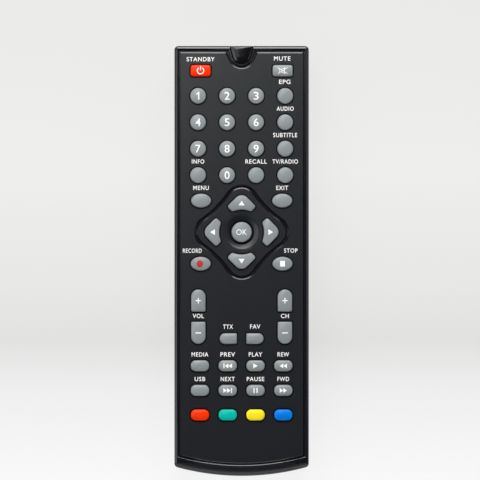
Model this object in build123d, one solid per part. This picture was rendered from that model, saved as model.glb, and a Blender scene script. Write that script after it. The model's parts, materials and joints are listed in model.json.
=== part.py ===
"""Infrared remote control for a television set-top box, lying on its back.

+X is across the width, +Y runs from the battery end to the infrared end, +Z is up through the keys.
The origin is on the rest plane, at the middle of the outline. All lengths are in millimetres.
"""

import math
import os

from build123d import *

# Outline of the case, seen from above
body_width = 50.0
body_length = 160.0
end_arc_radius = 92.0
infrared_corner = 1.5
battery_corner = 1.7

# Walls and edges of the case
side_wall = 1.8
face_wall = 1.8
parting_height = 10.5
rear_edge_round = 5.0
face_edge_round = 0.5
end_slope_width = 3.4
end_slope_drop = 1.2
back_slope_length = 58.0
back_slope_rise = 5.0
back_bend_radius = 120.0
back_end_round = 3.0
smallest_round = 0.4
hair = 0.04
step_depth = 0.9
step_height = 1.2
fit_gap = 0.1

# Grooves in the face
rim_side = 1.2
rim_top = 1.0
rim_end = 3.8
groove_width = 1.2
groove_width_top = 1.4
groove_depth = 0.6

# Two AAA cells side by side, in opposite directions
cell_diameter = 10.5
cell_length = 44.5
cell_nub_diameter = 3.8
cell_nub_length = 1.0
cell_pitch_gap = 0.7
cell_gap = 0.3
cell_well_from_foot = 13.5
contact_thickness = 0.3
spring_length = 5.4
spring_wire = 0.6
spring_base_radius = 3.6
spring_tip_radius = 2.2
spring_turns = 3.5

# Sliding battery door
door_width = 34.0
door_wall = 1.6
door_recess = 0.15
door_gap = 0.15
door_lead = 1.5
door_end_height = 4.4
door_tongue_width = 1.1
door_tongue_height = 0.7
door_tongue_end = 5.0
door_rail = 1.6
grip_grooves = 7
grip_pitch = 1.8
grip_groove_width = 0.9
grip_depth = 0.4
grip_length = 16.0
grip_from_top = 6.0
tray_wall = 1.2
well_wall = 1.2

# Circuit board and keypad mat, stacked up to the face
board_gap = 0.4
board_thickness = 1.2
board_side_gap = 2.0
board_top_gap = 2.7
board_end_gap = 4.0
hole_gap = 0.15
pad_radius = 1.7
pad_thickness = 0.05
mat_thickness = 1.0
dome_height = 0.6
dome_wall = 0.45
key_travel = 1.0
travel_gap = 0.1
key_flange = 0.8
key_flange_height = 0.8
key_rise = 1.3
key_edge = 0.4
key_gap = 0.3
plunger_radius = 1.7
pill_radius = 1.5
pill_thickness = 0.6
plunger_gap = 0.4

# Two keys in the corners. Each block of keys is placed by its distance from the infrared end
corner_key_x = 15.25
corner_key_from_end = 9.25
corner_key_width = 7.5
corner_key_height = 4.3
corner_key_corner = 0.9

# Number block, four rows of four round keys
number_diameter = 5.9
number_pitch_x = 10.8
number_pitch_y = 9.83
number_from_end = 18.6
number_names = (
    ("1", "2", "3", "guide"),
    ("4", "5", "6", "audio"),
    ("7", "8", "9", "subtitle"),
    ("info", "0", "recall", "tv_radio"),
)

# Oval keys round the pointing pad
oval_width = 7.5
oval_height = 5.2
menu_x = 15.1
menu_from_end = 57.55
record_x = 15.2
record_from_end = 81.0

# Pointing pad: a round key in a dish, four arrow keys and a diamond groove round them
pad_from_end = 69.25
ok_diameter = 7.5
dish_radius = 6.4
dish_depth = 1.0
arrow_side = 10.55
arrow_tip_round = 2.9
arrow_inner_radius = 8.33
arrow_cut = 2.83
arrow_corner = 0.95
diamond_tip_radius = 5.0
diamond_tip_place = 11.2
diamond_side = 12.2
diamond_groove_width = 1.5
diamond_groove_depth = 0.65

# Volume and channel keys, and the two small keys between them
rocker_x = 16.1
rocker_from_end = 94.7
rocker_pitch = 12.0
rocker_width = 5.4
rocker_length = 8.24
text_key_x = 4.95
text_key_from_end = 108.85
text_key_width = 6.45
text_key_height = 4.05
small_corner = 0.5

# Player block, three rows of four soft rectangles
player_pitch_x = 10.33
player_pitch_y = 9.15
player_from_end = 118.95
player_width = 6.85
player_height = 4.15
player_corner = 1.85
player_names = (
    ("media", "previous", "play", "rewind"),
    ("usb", "next", "pause", "forward"),
    ("red", "green", "yellow", "blue"),
)

# Infrared lamp and its window
window_round_from_end = 3.5
window_round = 3.3
window_tilt = 15.0
window_groove_tilt = 27.0
window_wall = 1.5
window_edge_round = 1.2
window_flange = 1.3
window_flange_thickness = 1.0
window_flange_height = 8.0
window_land = 0.45
lamp_diameter = 5.0
lamp_flange_diameter = 5.8
lamp_flange_height = 1.0
lamp_length = 8.6
lamp_lead = 0.5
lamp_lead_pitch = 2.54
lamp_lead_length = 6.5
lamp_gap = 0.25

# Posts, screws and hooks
post_radius = 1.2
pin_radius = 0.7
pad_post_drop = 3.85
screw_x = 15.0
screw_from_foot = 14.0
screw_post_radius = 2.3
screw_boss_radius = 3.1
screw_radius = 1.0
screw_head_radius = 2.0
screw_head_height = 1.4
screw_length = 9.0
screw_slot_width = 0.6
screw_slot_depth = 0.6
screw_sink = 0.6
hook_x = 14.0
hook_width = 5.0
hook_thickness = 1.2
hook_reach = 0.6
hook_height = 1.0
hook_drop = 1.0

# Parts soldered under the board
chip_width = 7.5
chip_length = 12.8
chip_height = 2.3
chip_from_end = 66.0
chip_leads = 10
chip_lead_pitch = 1.27
chip_lead_width = 0.4
chip_lead_reach = 1.4
chip_lead_thickness = 0.3
tab_width = 3.0
plate_width = 8.0
plate_height = 8.0
resonator_x = 12.0
resonator_from_end = 66.0
resonator_width = 3.2
resonator_length = 8.0
resonator_height = 3.4
capacitor_x = -12.5
capacitor_from_end = 42.0
capacitor_diameter = 5.0
capacitor_length = 8.0
capacitor_crimp = 0.3
chip_part_length = 3.2
chip_part_width = 1.6
chip_part_height = 0.7
chip_part_pitch = 4.2
chip_part_count = 4
transistor_length = 2.9
transistor_width = 1.5
transistor_height = 1.1
chip_part_x = 8.0
chip_part_from_end = 34.0

# Heights above the rest plane, from the door up to the tops of the keys
door_top = door_recess + door_wall
tray_low = door_top + door_gap
cell_axis = door_top + cell_gap + cell_diameter / 2
ceiling_low = cell_axis + cell_diameter / 2 + cell_gap
ceiling_high = ceiling_low + well_wall
board_low = ceiling_high + board_gap
board_high = board_low + board_thickness
mat_high = board_high + mat_thickness
dome_high = mat_high + dome_height
flange_low = dome_high + key_travel + travel_gap
flange_high = flange_low + key_flange_height
face_inside = flange_high + fit_gap
face_height = face_inside + face_wall
key_top = face_height + key_rise
pill_low = board_high + pad_thickness + key_travel + travel_gap / 2
lamp_axis = board_low - lamp_lead / 2
screw_seat = tray_low + screw_sink + screw_head_height
screw_end = screw_seat + screw_length
pin_low = board_low - board_gap / 2

# Places along the length
infrared_end = body_length / 2
battery_end = -body_length / 2
end_arc_y = battery_end + end_arc_radius
back_slope_start = infrared_end - back_slope_length
corner_key_y = infrared_end - corner_key_from_end
number_top_y = infrared_end - number_from_end
menu_y = infrared_end - menu_from_end
pad_y = infrared_end - pad_from_end
record_y = infrared_end - record_from_end
rocker_top_y = infrared_end - rocker_from_end
text_key_y = infrared_end - text_key_from_end
player_top_y = infrared_end - player_from_end
window_round_y = infrared_end - window_round_from_end
window_lean = math.radians(window_tilt)
window_half_width = window_round / math.cos(window_lean) + window_round_from_end * math.tan(window_lean)
chip_y = infrared_end - chip_from_end
resonator_y = infrared_end - resonator_from_end
capacitor_y = infrared_end - capacitor_from_end
chip_part_y = infrared_end - chip_part_from_end
screw_y = battery_end + screw_from_foot
cell_well_bottom = battery_end + cell_well_from_foot
cell_well_top = cell_well_bottom + cell_length + spring_length + 2 * contact_thickness
cell_pitch = cell_diameter + cell_pitch_gap
cell_well_half = cell_pitch / 2 + cell_diameter / 2 + cell_gap
door_top_y = cell_well_top + door_lead
lamp_tip = infrared_end - window_wall - lamp_gap
lamp_base = lamp_tip - lamp_length
door_half = door_width / 2
beyond = 5.0
above = face_height + beyond
post_places = [
    (side * x, y)
    for side in (-1, 1)
    for x, y in (
        (number_pitch_x, number_top_y - number_pitch_y / 2),
        (number_pitch_x, menu_y - pad_post_drop),
        (number_pitch_x, rocker_top_y - rocker_pitch / 2),
        (player_pitch_x, player_top_y - player_pitch_y / 2),
    )
]
screw_places = [(-screw_x, screw_y), (screw_x, screw_y)]


def plate(sketch, low, high):
    """A flat sketch raised into a plate between two heights."""
    return extrude(Pos(0, 0, low) * sketch, high - low)


def block(x_range, y_range, z_range):
    """A box between two places on each axis."""
    (x_low, x_high), (y_low, y_high), (z_low, z_high) = x_range, y_range, z_range
    middle = Pos((x_low + x_high) / 2, (y_low + y_high) / 2, (z_low + z_high) / 2)
    return middle * Box(x_high - x_low, y_high - y_low, z_high - z_low)


def rod(x, y, radius, low, high):
    """An upright cylinder between two heights."""
    return Pos(x, y, (low + high) / 2) * Cylinder(radius, high - low)


def lying_rod(x, z, radius, low, high):
    """A cylinder along Y between two places."""
    return Pos(x, (low + high) / 2, z) * Rot(90, 0, 0) * Cylinder(radius, high - low)


def polygon(*points):
    """A flat face with straight sides."""
    return make_face(Polyline(*points, close=True))


def plan_outline(side, top, end, top_round, end_round):
    """The case outline moved in by its own amount at the sides, the infrared end and the battery end."""
    half = body_width / 2 - side
    high = infrared_end - top
    radius = end_arc_radius - end
    corner_y = end_arc_y - math.sqrt(radius**2 - half**2)
    outline = make_face(
        [
            Line((-half, corner_y), (-half, high)),
            Line((-half, high), (half, high)),
            Line((half, high), (half, corner_y)),
            ThreePointArc((half, corner_y), (0, end_arc_y - radius), (-half, corner_y)),
        ]
    )
    outline = fillet(outline.vertices().group_by(Axis.Y)[-1], top_round)
    return fillet(outline.vertices().group_by(Axis.Y)[0], end_round)


def end_ring(section):
    """A section beside the battery end, turned about the centre of the end's arc."""
    upright = Plane(origin=(0, end_arc_y, 0), x_dir=(1, 0, 0), z_dir=(0, -1, 0))
    return revolve(upright * section, Axis((0, end_arc_y, 0), (0, 0, 1)), 360)


def rear_end_cut(inset):
    """What is cut away to round the rear edge of the battery end."""
    radius = rear_edge_round - inset
    start = end_arc_radius - rear_edge_round
    far = end_arc_radius + beyond
    quarter = radius * math.sqrt(0.5)
    middle = (start + quarter, rear_edge_round - quarter)
    end = (start + radius, rear_edge_round)
    return end_ring(
        make_face(
            [
                ThreePointArc((start, inset), middle, end),
                Polyline(end, (far, rear_edge_round), (far, -beyond), (start, -beyond), (start, inset)),
            ]
        )
    )


def face_end_cut():
    """What is cut away where the face rounds down to the battery end."""
    radius = (end_slope_width**2 + end_slope_drop**2) / (2 * end_slope_drop)
    start = end_arc_radius - end_slope_width
    half_turn = math.asin(end_slope_width / radius) / 2
    rise = radius * (1 - math.cos(half_turn))
    middle = (start + radius * math.sin(half_turn), face_height - rise)
    end = (end_arc_radius, face_height - end_slope_drop)
    far = end_arc_radius + beyond
    high = face_height + beyond
    return end_ring(
        make_face(
            [
                ThreePointArc((start, face_height), middle, end),
                Polyline(end, (far, end[1]), (far, high), (start, high), (start, face_height)),
            ]
        )
    )


def side_profile(inset, roof, y_high, end_round, roof_round):
    """The case from the side: flat on its back, then rising towards the infrared end."""
    slope = back_slope_rise / back_slope_length
    lean = math.sqrt(1 + slope**2)
    bend_y = back_slope_start - inset * (lean - 1) / slope
    high_z = slope * (y_high - back_slope_start) + inset * lean
    profile = polygon(
        (-body_length, inset), (bend_y, inset), (y_high, high_z), (y_high, roof), (-body_length, roof)
    )
    bend = profile.vertices().sort_by_distance((bend_y, inset, 0))[0]
    profile = fillet(bend, back_bend_radius - inset)
    if end_round:
        corner = profile.vertices().sort_by_distance((y_high, high_z, 0))[0]
        profile = fillet(corner, end_round)
    if roof_round:
        corner = profile.vertices().sort_by_distance((y_high, roof, 0))[0]
        profile = fillet(corner, roof_round)
    return profile


def case_body(inset, roof, roof_round=0):
    """The closed case, moved in from its outside by inset and closed at the height of roof."""
    half = body_width / 2 - inset
    profile = side_profile(inset, roof, body_length, 0, 0)
    body = extrude(Plane.YZ * profile, half, both=True)
    long_edges = [
        edge
        for edge in body.edges()
        if abs(edge.center().X) > half / 2 and abs(edge.tangent_at(0.5).Y) > 0.5
    ]
    rear_edges = [edge for edge in long_edges if edge.center().Z < (roof + inset) / 2]
    face_edges = [edge for edge in long_edges if edge.center().Z > (roof + inset) / 2]
    body = fillet(rear_edges, rear_edge_round - inset)
    if roof_round:
        near = [edge for edge in body.edges() if any(is_same_line(edge, old) for old in face_edges)]
        body = fillet(near, roof_round)
    top_round = max(infrared_corner - inset, smallest_round)
    end_round = max(battery_corner - inset, smallest_round)
    plan = plate(plan_outline(inset, inset, inset, top_round, end_round), 0, roof)
    rounded = side_profile(inset, roof, infrared_end - inset, back_end_round - inset, roof_round)
    body = body & plan & extrude(Plane.YZ * rounded, body_width, both=True)
    return body - rear_end_cut(inset)


def is_same_line(edge, other):
    """Whether two straight edges have the same middle."""
    return (edge.center() - other.center()).length < smallest_round


def round_key(x, y, grow):
    """The outline of a round number key, grown by grow."""
    return Pos(x, y) * Circle(number_diameter / 2 + grow)


def oval_key(x, y, grow):
    """The outline of an oval key, grown by grow."""
    return Pos(x, y) * Ellipse(oval_width / 2 + grow, oval_height / 2 + grow)


def soft_key(x, y, width, height, corner, grow):
    """The outline of a rectangular key with round corners, grown by grow."""
    return Pos(x, y) * RectangleRounded(width + 2 * grow, height + 2 * grow, corner + grow)


def half_round_key(x, y, length, width, side_round, angle, grow):
    """The outline of a key whose end at angle is rounded by side_round, grown by grow."""
    shape = Rectangle(length + 2 * grow, width + 2 * grow)
    shape = fillet(shape.vertices().group_by(Axis.X)[0], small_corner + grow)
    shape = fillet(shape.vertices().group_by(Axis.X)[-1], side_round + grow)
    return Pos(x, y) * Rot(0, 0, angle) * shape


def arrow_key(angle, grow):
    """The outline of the arrow key that points to angle: the corner of a square that stands on its tip."""
    side = arrow_side + grow
    cut = arrow_cut - grow
    inner = arrow_inner_radius - grow
    reach = math.sqrt(inner**2 - cut**2)
    diagonal = math.sqrt(0.5)
    outer_x, outer_y = (side - cut) * diagonal, (side + cut) * diagonal
    inner_x, inner_y = (reach - cut) * diagonal, (reach + cut) * diagonal
    tip = side / diagonal
    shape = make_face(
        [
            Polyline(
                (inner_x, inner_y), (outer_x, outer_y), (0, tip), (-outer_x, outer_y), (-inner_x, inner_y)
            ),
            ThreePointArc((-inner_x, inner_y), (0, inner), (inner_x, inner_y)),
        ]
    )
    by_height = shape.vertices().group_by(Axis.Y)
    shape = fillet(by_height[-1], arrow_tip_round + grow)
    inner_corners = shape.vertices().group_by(Axis.Y)[0]
    shape = fillet(inner_corners, arrow_corner + grow)
    outer_corners = [
        vertex for vertex in shape.vertices() if abs(abs(vertex.X) - outer_x) < hair
    ]
    shape = fillet(outer_corners, arrow_corner + grow)
    return Pos(0, pad_y) * Rot(0, 0, angle - 90) * shape


def diamond(grow):
    """The rounded diamond round the pointing pad: four round tips joined by hollow sides."""
    tip, place, side = diamond_tip_radius, diamond_tip_place, diamond_side
    lean = math.sqrt(2) * place
    hollow = (tip**2 - side**2 + lean * side - place**2) / (2 * side - lean - 2 * tip)
    centre = (side + hollow) * math.sqrt(0.5)
    share = (tip + grow) / (tip + hollow)
    touch_x, touch_y = centre * share, place + (centre - place) * share
    middle = (side + grow) * math.sqrt(0.5)
    edges = []
    for quarter in range(4):
        turn = Rot(0, 0, 90 * quarter)
        edges += [
            turn * ThreePointArc((-touch_x, touch_y), (0, place + tip + grow), (touch_x, touch_y)),
            turn * ThreePointArc((touch_x, touch_y), (middle, middle), (touch_y, touch_x)),
        ]
    return Pos(0, pad_y) * make_face(edges)


def window_outline(grow, tilt=window_tilt):
    """The window from above: round inside the face, its sides leaning out to beyond the end of the case."""
    radius = window_round + grow
    lean = math.radians(tilt)
    touch_x = radius * math.cos(lean)
    touch_y = window_round_y - radius * math.sin(lean)
    far = infrared_end + beyond
    far_x = touch_x + (far - touch_y) * math.tan(lean)
    flare = polygon((-touch_x, touch_y), (touch_x, touch_y), (far_x, far), (-far_x, far))
    return Pos(0, window_round_y) * Circle(radius) + flare


def column_place(column, names):
    """How many pitches a column lies to the right of the middle of its row."""
    return column - (len(names) - 1) / 2


def key_list():
    """Every key: its name, the middle of its foot, and its outline as a function of how far it is grown."""
    keys = []

    def add(name, x, y, outline):
        keys.append((name, (x, y), outline))

    for name, side in (("standby", -1), ("mute", 1)):
        place = (side * corner_key_x, corner_key_y)
        size = (corner_key_width, corner_key_height, corner_key_corner)
        add(name, *place, lambda grow, place=place, size=size: soft_key(*place, *size, grow))
    for row, names in enumerate(number_names):
        for column, name in enumerate(names):
            place = (column_place(column, names) * number_pitch_x, number_top_y - row * number_pitch_y)
            add(name, *place, lambda grow, place=place: round_key(*place, grow))
    for left, right, x, y in (("menu", "exit", menu_x, menu_y), ("record", "stop", record_x, record_y)):
        for name, place in ((left, (-x, y)), (right, (x, y))):
            add(name, *place, lambda grow, place=place: oval_key(*place, grow))
    arrow_middle = (arrow_inner_radius + arrow_side / math.sqrt(0.5) - arrow_tip_round / 2) / 2
    for name, angle in (("right", 0), ("up", 90), ("left", 180), ("down", 270)):
        x = arrow_middle * math.cos(math.radians(angle))
        y = pad_y + arrow_middle * math.sin(math.radians(angle))
        add(name, x, y, lambda grow, angle=angle: arrow_key(angle, grow))
    add("ok", 0, pad_y, lambda grow: Pos(0, pad_y) * Circle(ok_diameter / 2 + grow))
    rocker = (rocker_length, rocker_width, rocker_width / 2 - hair)
    for side, name in ((-1, "volume"), (1, "channel")):
        for end, word, angle in ((0, "up", 90), (1, "down", 270)):
            place = (side * rocker_x, rocker_top_y - end * rocker_pitch)
            add(
                f"{name}_{word}",
                *place,
                lambda grow, place=place, angle=angle: half_round_key(*place, *rocker, angle, grow),
            )
    text_key = (text_key_width, text_key_height, text_key_height / 2 - hair)
    for name, side, angle in (("text", -1, 180), ("favourite", 1, 0)):
        place = (side * text_key_x, text_key_y)
        add(
            name,
            *place,
            lambda grow, place=place, angle=angle: half_round_key(*place, *text_key, angle, grow),
        )
    for row, names in enumerate(player_names):
        for column, name in enumerate(names):
            place = (column_place(column, names) * player_pitch_x, player_top_y - row * player_pitch_y)
            size = (player_width, player_height, player_corner)
            add(name, *place, lambda grow, place=place, size=size: soft_key(*place, *size, grow))
    return keys


def front_case(keys):
    """The front shell: its face with grooves, dish, key holes and window slot, and the posts behind it."""
    shell = case_body(0, face_height, face_edge_round) - face_end_cut()
    shell -= case_body(side_wall, face_inside)
    shell -= block((-body_width, body_width), (-body_length, body_length), (-beyond, parting_height))
    step = plan_outline(step_depth, step_depth, step_depth, smallest_round, smallest_round)
    shell -= plate(step, parting_height, parting_height + step_height + fit_gap)
    shell -= face_grooves() + pad_dish()
    shell -= [plate(outline(key_gap), flange_high, above) for name, place, outline in keys]
    shell -= plate(window_outline(fit_gap), parting_height, above)
    posts = []
    for x, y in post_places:
        post = rod(x, y, post_radius, board_high, face_inside)
        posts.append(post + rod(x, y, pin_radius, pin_low, board_high))
    for x, y in screw_places:
        post = rod(x, y, screw_post_radius, parting_height + fit_gap, face_inside)
        posts.append(post - rod(x, y, screw_radius + hole_gap / 2, parting_height, screw_end + board_gap))
    return shell + posts + [hook(-hook_x), hook(hook_x)]


def face_grooves():
    """The groove round the flat of the face, and the diamond groove round the pointing pad."""
    outer = plan_outline(rim_side, rim_top, rim_end, smallest_round, smallest_round)
    panel = plan_outline(
        rim_side + groove_width,
        rim_top + groove_width_top,
        rim_end + groove_width,
        smallest_round,
        smallest_round,
    )
    panel -= window_outline(window_land + groove_width, window_groove_tilt)
    round_face = outer - panel - window_outline(window_land)
    round_pad = diamond(diamond_groove_width) - diamond(0)
    low = face_height - groove_depth
    pad_low = face_height - diamond_groove_depth
    return plate(round_face, low, above) + plate(round_pad, pad_low, above)


def pad_dish():
    """The hollow of a ball round the middle key of the pointing pad."""
    hole = ok_diameter / 2 + key_gap
    centre = (dish_radius**2 - hole**2 - dish_depth**2) / (2 * dish_depth)
    return Pos(0, pad_y, face_height + centre) * Sphere(math.sqrt(centre**2 + dish_radius**2))


def hook(x):
    """A finger of the front shell that snaps into a pocket in the rear shell at the infrared end."""
    wall = infrared_end - side_wall
    across = (x - hook_width / 2, x + hook_width / 2)
    low = parting_height - hook_drop - hook_height
    finger = block(across, (wall - hook_thickness, wall - fit_gap), (low, face_inside))
    root = block(
        across, (wall - hook_thickness, wall), (parting_height + step_height + 2 * fit_gap, face_inside)
    )
    barb = block(across, (wall - hook_thickness, wall - fit_gap + hook_reach), (low, low + hook_height))
    return finger + root + barb


def hook_pocket(x):
    """The pocket in the rear shell that holds a hook's barb."""
    wall = infrared_end - side_wall
    low = parting_height - hook_drop - hook_height - fit_gap
    return block(
        (x - hook_width / 2 - fit_gap, x + hook_width / 2 + fit_gap),
        (wall - hook_thickness, wall + hook_reach),
        (low, low + hook_height + 2 * fit_gap),
    )


def rear_case():
    """The rear shell: back, battery well, door opening with its rails, and screw bosses."""
    upper = block((-body_width, body_width), (-body_length, body_length), (parting_height, above))
    shell = case_body(0, face_height) - case_body(side_wall, face_height) - upper
    lip_in = step_depth + fit_gap
    lip = plan_outline(lip_in, lip_in, lip_in, smallest_round, smallest_round) - plan_outline(
        side_wall, side_wall, side_wall, smallest_round, smallest_round
    )
    shell += plate(lip, parting_height - side_wall / 2, parting_height + step_height)
    window_side = window_half_width + 2 * fit_gap
    shell -= block((-window_side, window_side), (0, body_length), (parting_height, above))
    well_side = cell_well_half + well_wall
    well_y = (cell_well_bottom - well_wall, cell_well_top + well_wall)
    shell += block((-well_side, well_side), well_y, (tray_low, ceiling_high))
    rail_side = door_half + door_gap + door_tongue_width + door_rail
    tray_y = (-body_length, door_top_y + door_rail)
    tray_z = (side_wall / 2, tray_low + tray_wall)
    shell += block((-rail_side, rail_side), tray_y, tray_z) & case_body(side_wall / 2, face_height)
    shell += [rod(x, y, screw_boss_radius, tray_low, parting_height) for x, y in screw_places]
    shell -= door_opening()
    well = (-cell_well_half, cell_well_half), (cell_well_bottom, cell_well_top)
    shell -= block(*well, (-beyond, ceiling_low))
    for x, y in screw_places:
        shell -= rod(x, y, screw_radius + 2 * hole_gap, tray_low, parting_height + beyond)
        shell -= rod(x, y, screw_head_radius + hole_gap, -beyond, screw_seat)
    for x in (-cell_pitch / 2, cell_pitch / 2):
        shell -= block(*tab_slot(x), (ceiling_low - hole_gap, above))
    return shell - [hook_pocket(-hook_x), hook_pocket(hook_x)]


def door_opening():
    """The space that the door and its tongues leave and slide out through."""
    side = door_half + door_gap
    inside = case_body(door_recess + door_wall + door_gap, face_height)
    high = door_end_height + door_gap
    opening = block((-side, side), (-body_length, door_top_y), (-beyond, high)) - inside
    groove_side = side + door_tongue_width
    groove_z = (tray_low - door_tongue_height - 2 * door_gap, tray_low)
    return opening + block((-groove_side, groove_side), (-body_length, door_top_y), groove_z)


def battery_door():
    """The sliding cover, turned up at the battery end, with a tongue along each side and a grip."""
    door = case_body(door_recess, face_height) - case_body(door_recess + door_wall, face_height)
    door_y = (-body_length, door_top_y - door_gap)
    door &= block((-door_half, door_half), door_y, (-beyond, door_end_height))
    tongue_side = door_half + door_tongue_width
    tongue_y = (battery_end + door_tongue_end, door_top_y - door_gap)
    tongue_z = (door_top - door_tongue_height, door_top)
    door += block((-tongue_side, tongue_side), tongue_y, tongue_z)
    for groove in range(grip_grooves):
        y = door_top_y - grip_from_top - groove * grip_pitch
        door -= block(
            (-grip_length / 2, grip_length / 2),
            (y - grip_groove_width, y),
            (-beyond, door_recess + grip_depth),
        )
    return door


def board_outline():
    """The outline shared by the circuit board and the keypad mat, open for the lamp."""
    side, top, end = side_wall + board_side_gap, side_wall + board_top_gap, side_wall + board_end_gap
    notch_side = lamp_flange_diameter / 2 + fit_gap + lamp_gap
    notch = polygon(
        (-notch_side, lamp_base - lamp_flange_height),
        (notch_side, lamp_base - lamp_flange_height),
        (notch_side, body_length),
        (-notch_side, body_length),
    )
    return plan_outline(side, top, end, infrared_corner, battery_corner) - notch


def circuit_board(keys):
    """The board on the front shell's pins, with a printed carbon pad under each key."""
    board = plate(board_outline(), board_low, board_high)
    holes = [rod(x, y, pin_radius + hole_gap, 0, above) for x, y in post_places]
    holes += [rod(x, y, screw_post_radius + 2 * hole_gap, 0, above) for x, y in screw_places]
    holes += [block(*tab_slot(x), (0, above)) for x in (-cell_pitch / 2, cell_pitch / 2)]
    pads = [rod(*place, pad_radius, board_high, board_high + pad_thickness) for name, place, outline in keys]
    return (board - holes) + pads


def keypad_mat(keys):
    """The silicone sheet on the board, with a hollow dome round the foot of each key."""
    hole = plunger_radius + plunger_gap
    dome_tip = hole + dome_wall
    dome = Cone(dome_tip + dome_height, dome_tip, dome_height)
    mat = plate(board_outline(), board_high, mat_high)
    mat += [Pos(*place, (mat_high + dome_high) / 2) * dome for name, place, outline in keys]
    holes = [rod(*place, hole, 0, above) for name, place, outline in keys]
    holes += [rod(x, y, post_radius + hole_gap, 0, above) for x, y in post_places]
    holes += [rod(x, y, screw_post_radius + 2 * hole_gap, 0, above) for x, y in screw_places]
    return mat - holes


def key(place, outline):
    """One silicone key with its flange and foot, and the carbon pill in the foot."""
    cap = plate(outline(0), flange_high, key_top)
    cap = fillet(cap.faces().sort_by(Axis.Z)[-1].edges(), key_edge)
    cap += plate(outline(key_flange), flange_low, flange_high)
    cap += rod(*place, plunger_radius, pill_low + pill_thickness, flange_low)
    pill = rod(*place, pill_radius, pill_low, pill_low + pill_thickness)
    return [cap, pill]


def infrared_window():
    """The dark window: a plate in the face, a block in the end wall, and a flange that holds it in."""
    low = parting_height + fit_gap
    roof = face_height - fit_gap
    inner = infrared_end - side_wall - fit_gap
    back = inner - window_flange_thickness
    outline = window_outline(0) & (Pos(0, infrared_end / 2) * Rectangle(body_width, infrared_end))
    window = plate(outline, low, roof)
    under_face = block((-body_width, body_width), (0, back), (0, face_inside + fit_gap))
    window -= under_face
    edge = window.edges().filter_by(Axis.X).sort_by(Axis((0, 0, 0), (0, 1, 1)))[-1]
    window = fillet(edge, window_edge_round)
    flange_side = window_half_width + window_flange
    window += block((-flange_side, flange_side), (back, inner), (low, low + window_flange_height))
    bore = lamp_diameter / 2 + lamp_gap
    return window - lying_rod(0, lamp_axis, bore, 0, infrared_end - window_wall)


def infrared_lamp():
    """The infrared lamp, lying in the board's notch with its legs soldered under the board."""
    radius = lamp_diameter / 2
    lamp = lying_rod(0, lamp_axis, radius, lamp_base, lamp_tip - radius)
    lamp += Pos(0, lamp_tip - radius, lamp_axis) * Sphere(radius)
    lamp += lying_rod(0, lamp_axis, lamp_flange_diameter / 2, lamp_base, lamp_base + lamp_flange_height)
    for x in (-lamp_lead_pitch / 2, lamp_lead_pitch / 2):
        lamp += block(
            (x - lamp_lead / 2, x + lamp_lead / 2),
            (lamp_base - lamp_lead_length, lamp_base),
            (board_low - lamp_lead, board_low),
        )
    return lamp


def tab_slot(x):
    """The place of a contact's solder tab through the battery well and the board."""
    side = tab_width / 2 + hole_gap
    return (x - side, x + side), (cell_well_top - contact_thickness - hole_gap, cell_well_top + hole_gap)


def battery_contacts():
    """The bent plates: one with a solder tab for each cell at the top, one across both at the foot."""
    contacts = []
    z_range = (cell_axis - plate_height / 2, cell_axis + plate_height / 2)
    top_y = (cell_well_top - contact_thickness, cell_well_top)
    for x in (-cell_pitch / 2, cell_pitch / 2):
        contact = block((x - plate_width / 2, x + plate_width / 2), top_y, z_range)
        tab_z = (cell_axis, board_high - hole_gap)
        contacts.append(contact + block((x - tab_width / 2, x + tab_width / 2), top_y, tab_z))
    side = cell_pitch / 2 + plate_width / 2
    foot_y = (cell_well_bottom, cell_well_bottom + contact_thickness)
    return contacts + [block((-side, side), foot_y, z_range)]


def cells():
    """Two AAA cells that lie side by side and point opposite ways."""
    radius = cell_diameter / 2
    left_end = cell_well_top - contact_thickness
    right_end = cell_well_bottom + contact_thickness
    left = lying_rod(-cell_pitch / 2, cell_axis, radius, left_end - cell_length, left_end - cell_nub_length)
    left += lying_rod(-cell_pitch / 2, cell_axis, cell_nub_diameter / 2, left_end - cell_length, left_end)
    right = lying_rod(
        cell_pitch / 2, cell_axis, radius, right_end + cell_nub_length, right_end + cell_length
    )
    right += lying_rod(cell_pitch / 2, cell_axis, cell_nub_diameter / 2, right_end, right_end + cell_length)
    return [left, right]


def coil_point(turn):
    """A point on the middle of the spring's wire, after so many turns from its wide end."""
    share = turn / spring_turns
    radius = spring_base_radius + (spring_tip_radius - spring_base_radius) * share
    angle = 2 * math.pi * turn
    rise = spring_wire / 2 + (spring_length - spring_wire) * share
    return Vector(radius * math.cos(angle), radius * math.sin(angle), rise)


def coil_direction(turn):
    """The direction of the wire at that point."""
    step = 0.001
    return (coil_point(turn + step) - coil_point(turn - step)).normalized()


def coil_spring():
    """A conical spring that stands on its wide end, wound as one tube along pairs of arcs."""
    arcs = []
    quarters = round(spring_turns * 4)
    for quarter in range(quarters):
        start, end = coil_point(quarter / 4), coil_point((quarter + 1) / 4)
        out, back = coil_direction(quarter / 4), coil_direction((quarter + 1) / 4)
        chord = end - start
        both = out + back
        spread = 2 * (1 - out.dot(back))
        along = chord.dot(both)
        reach = (math.sqrt(along**2 + spread * chord.dot(chord)) - along) / spread
        middle = (start + end + (out - back) * reach) * 0.5
        meeting = (middle - start - out * reach).normalized()
        arcs.append(TangentArc(start, middle, tangent=out))
        arcs.append(TangentArc(middle, end, tangent=meeting))
    section = Plane(origin=coil_point(0), z_dir=coil_direction(0)) * Circle(spring_wire / 2)
    return sweep(section, path=Wire(arcs))


def spring_gap():
    """The least gap between two turns of the spring."""
    steps = 32
    points = [coil_point(step / steps) for step in range(round(spring_turns * steps) + 1)]
    apart = steps // 2
    return min(
        (far - near).length - spring_wire
        for index, near in enumerate(points)
        for far in points[index + apart :]
    )


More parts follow.
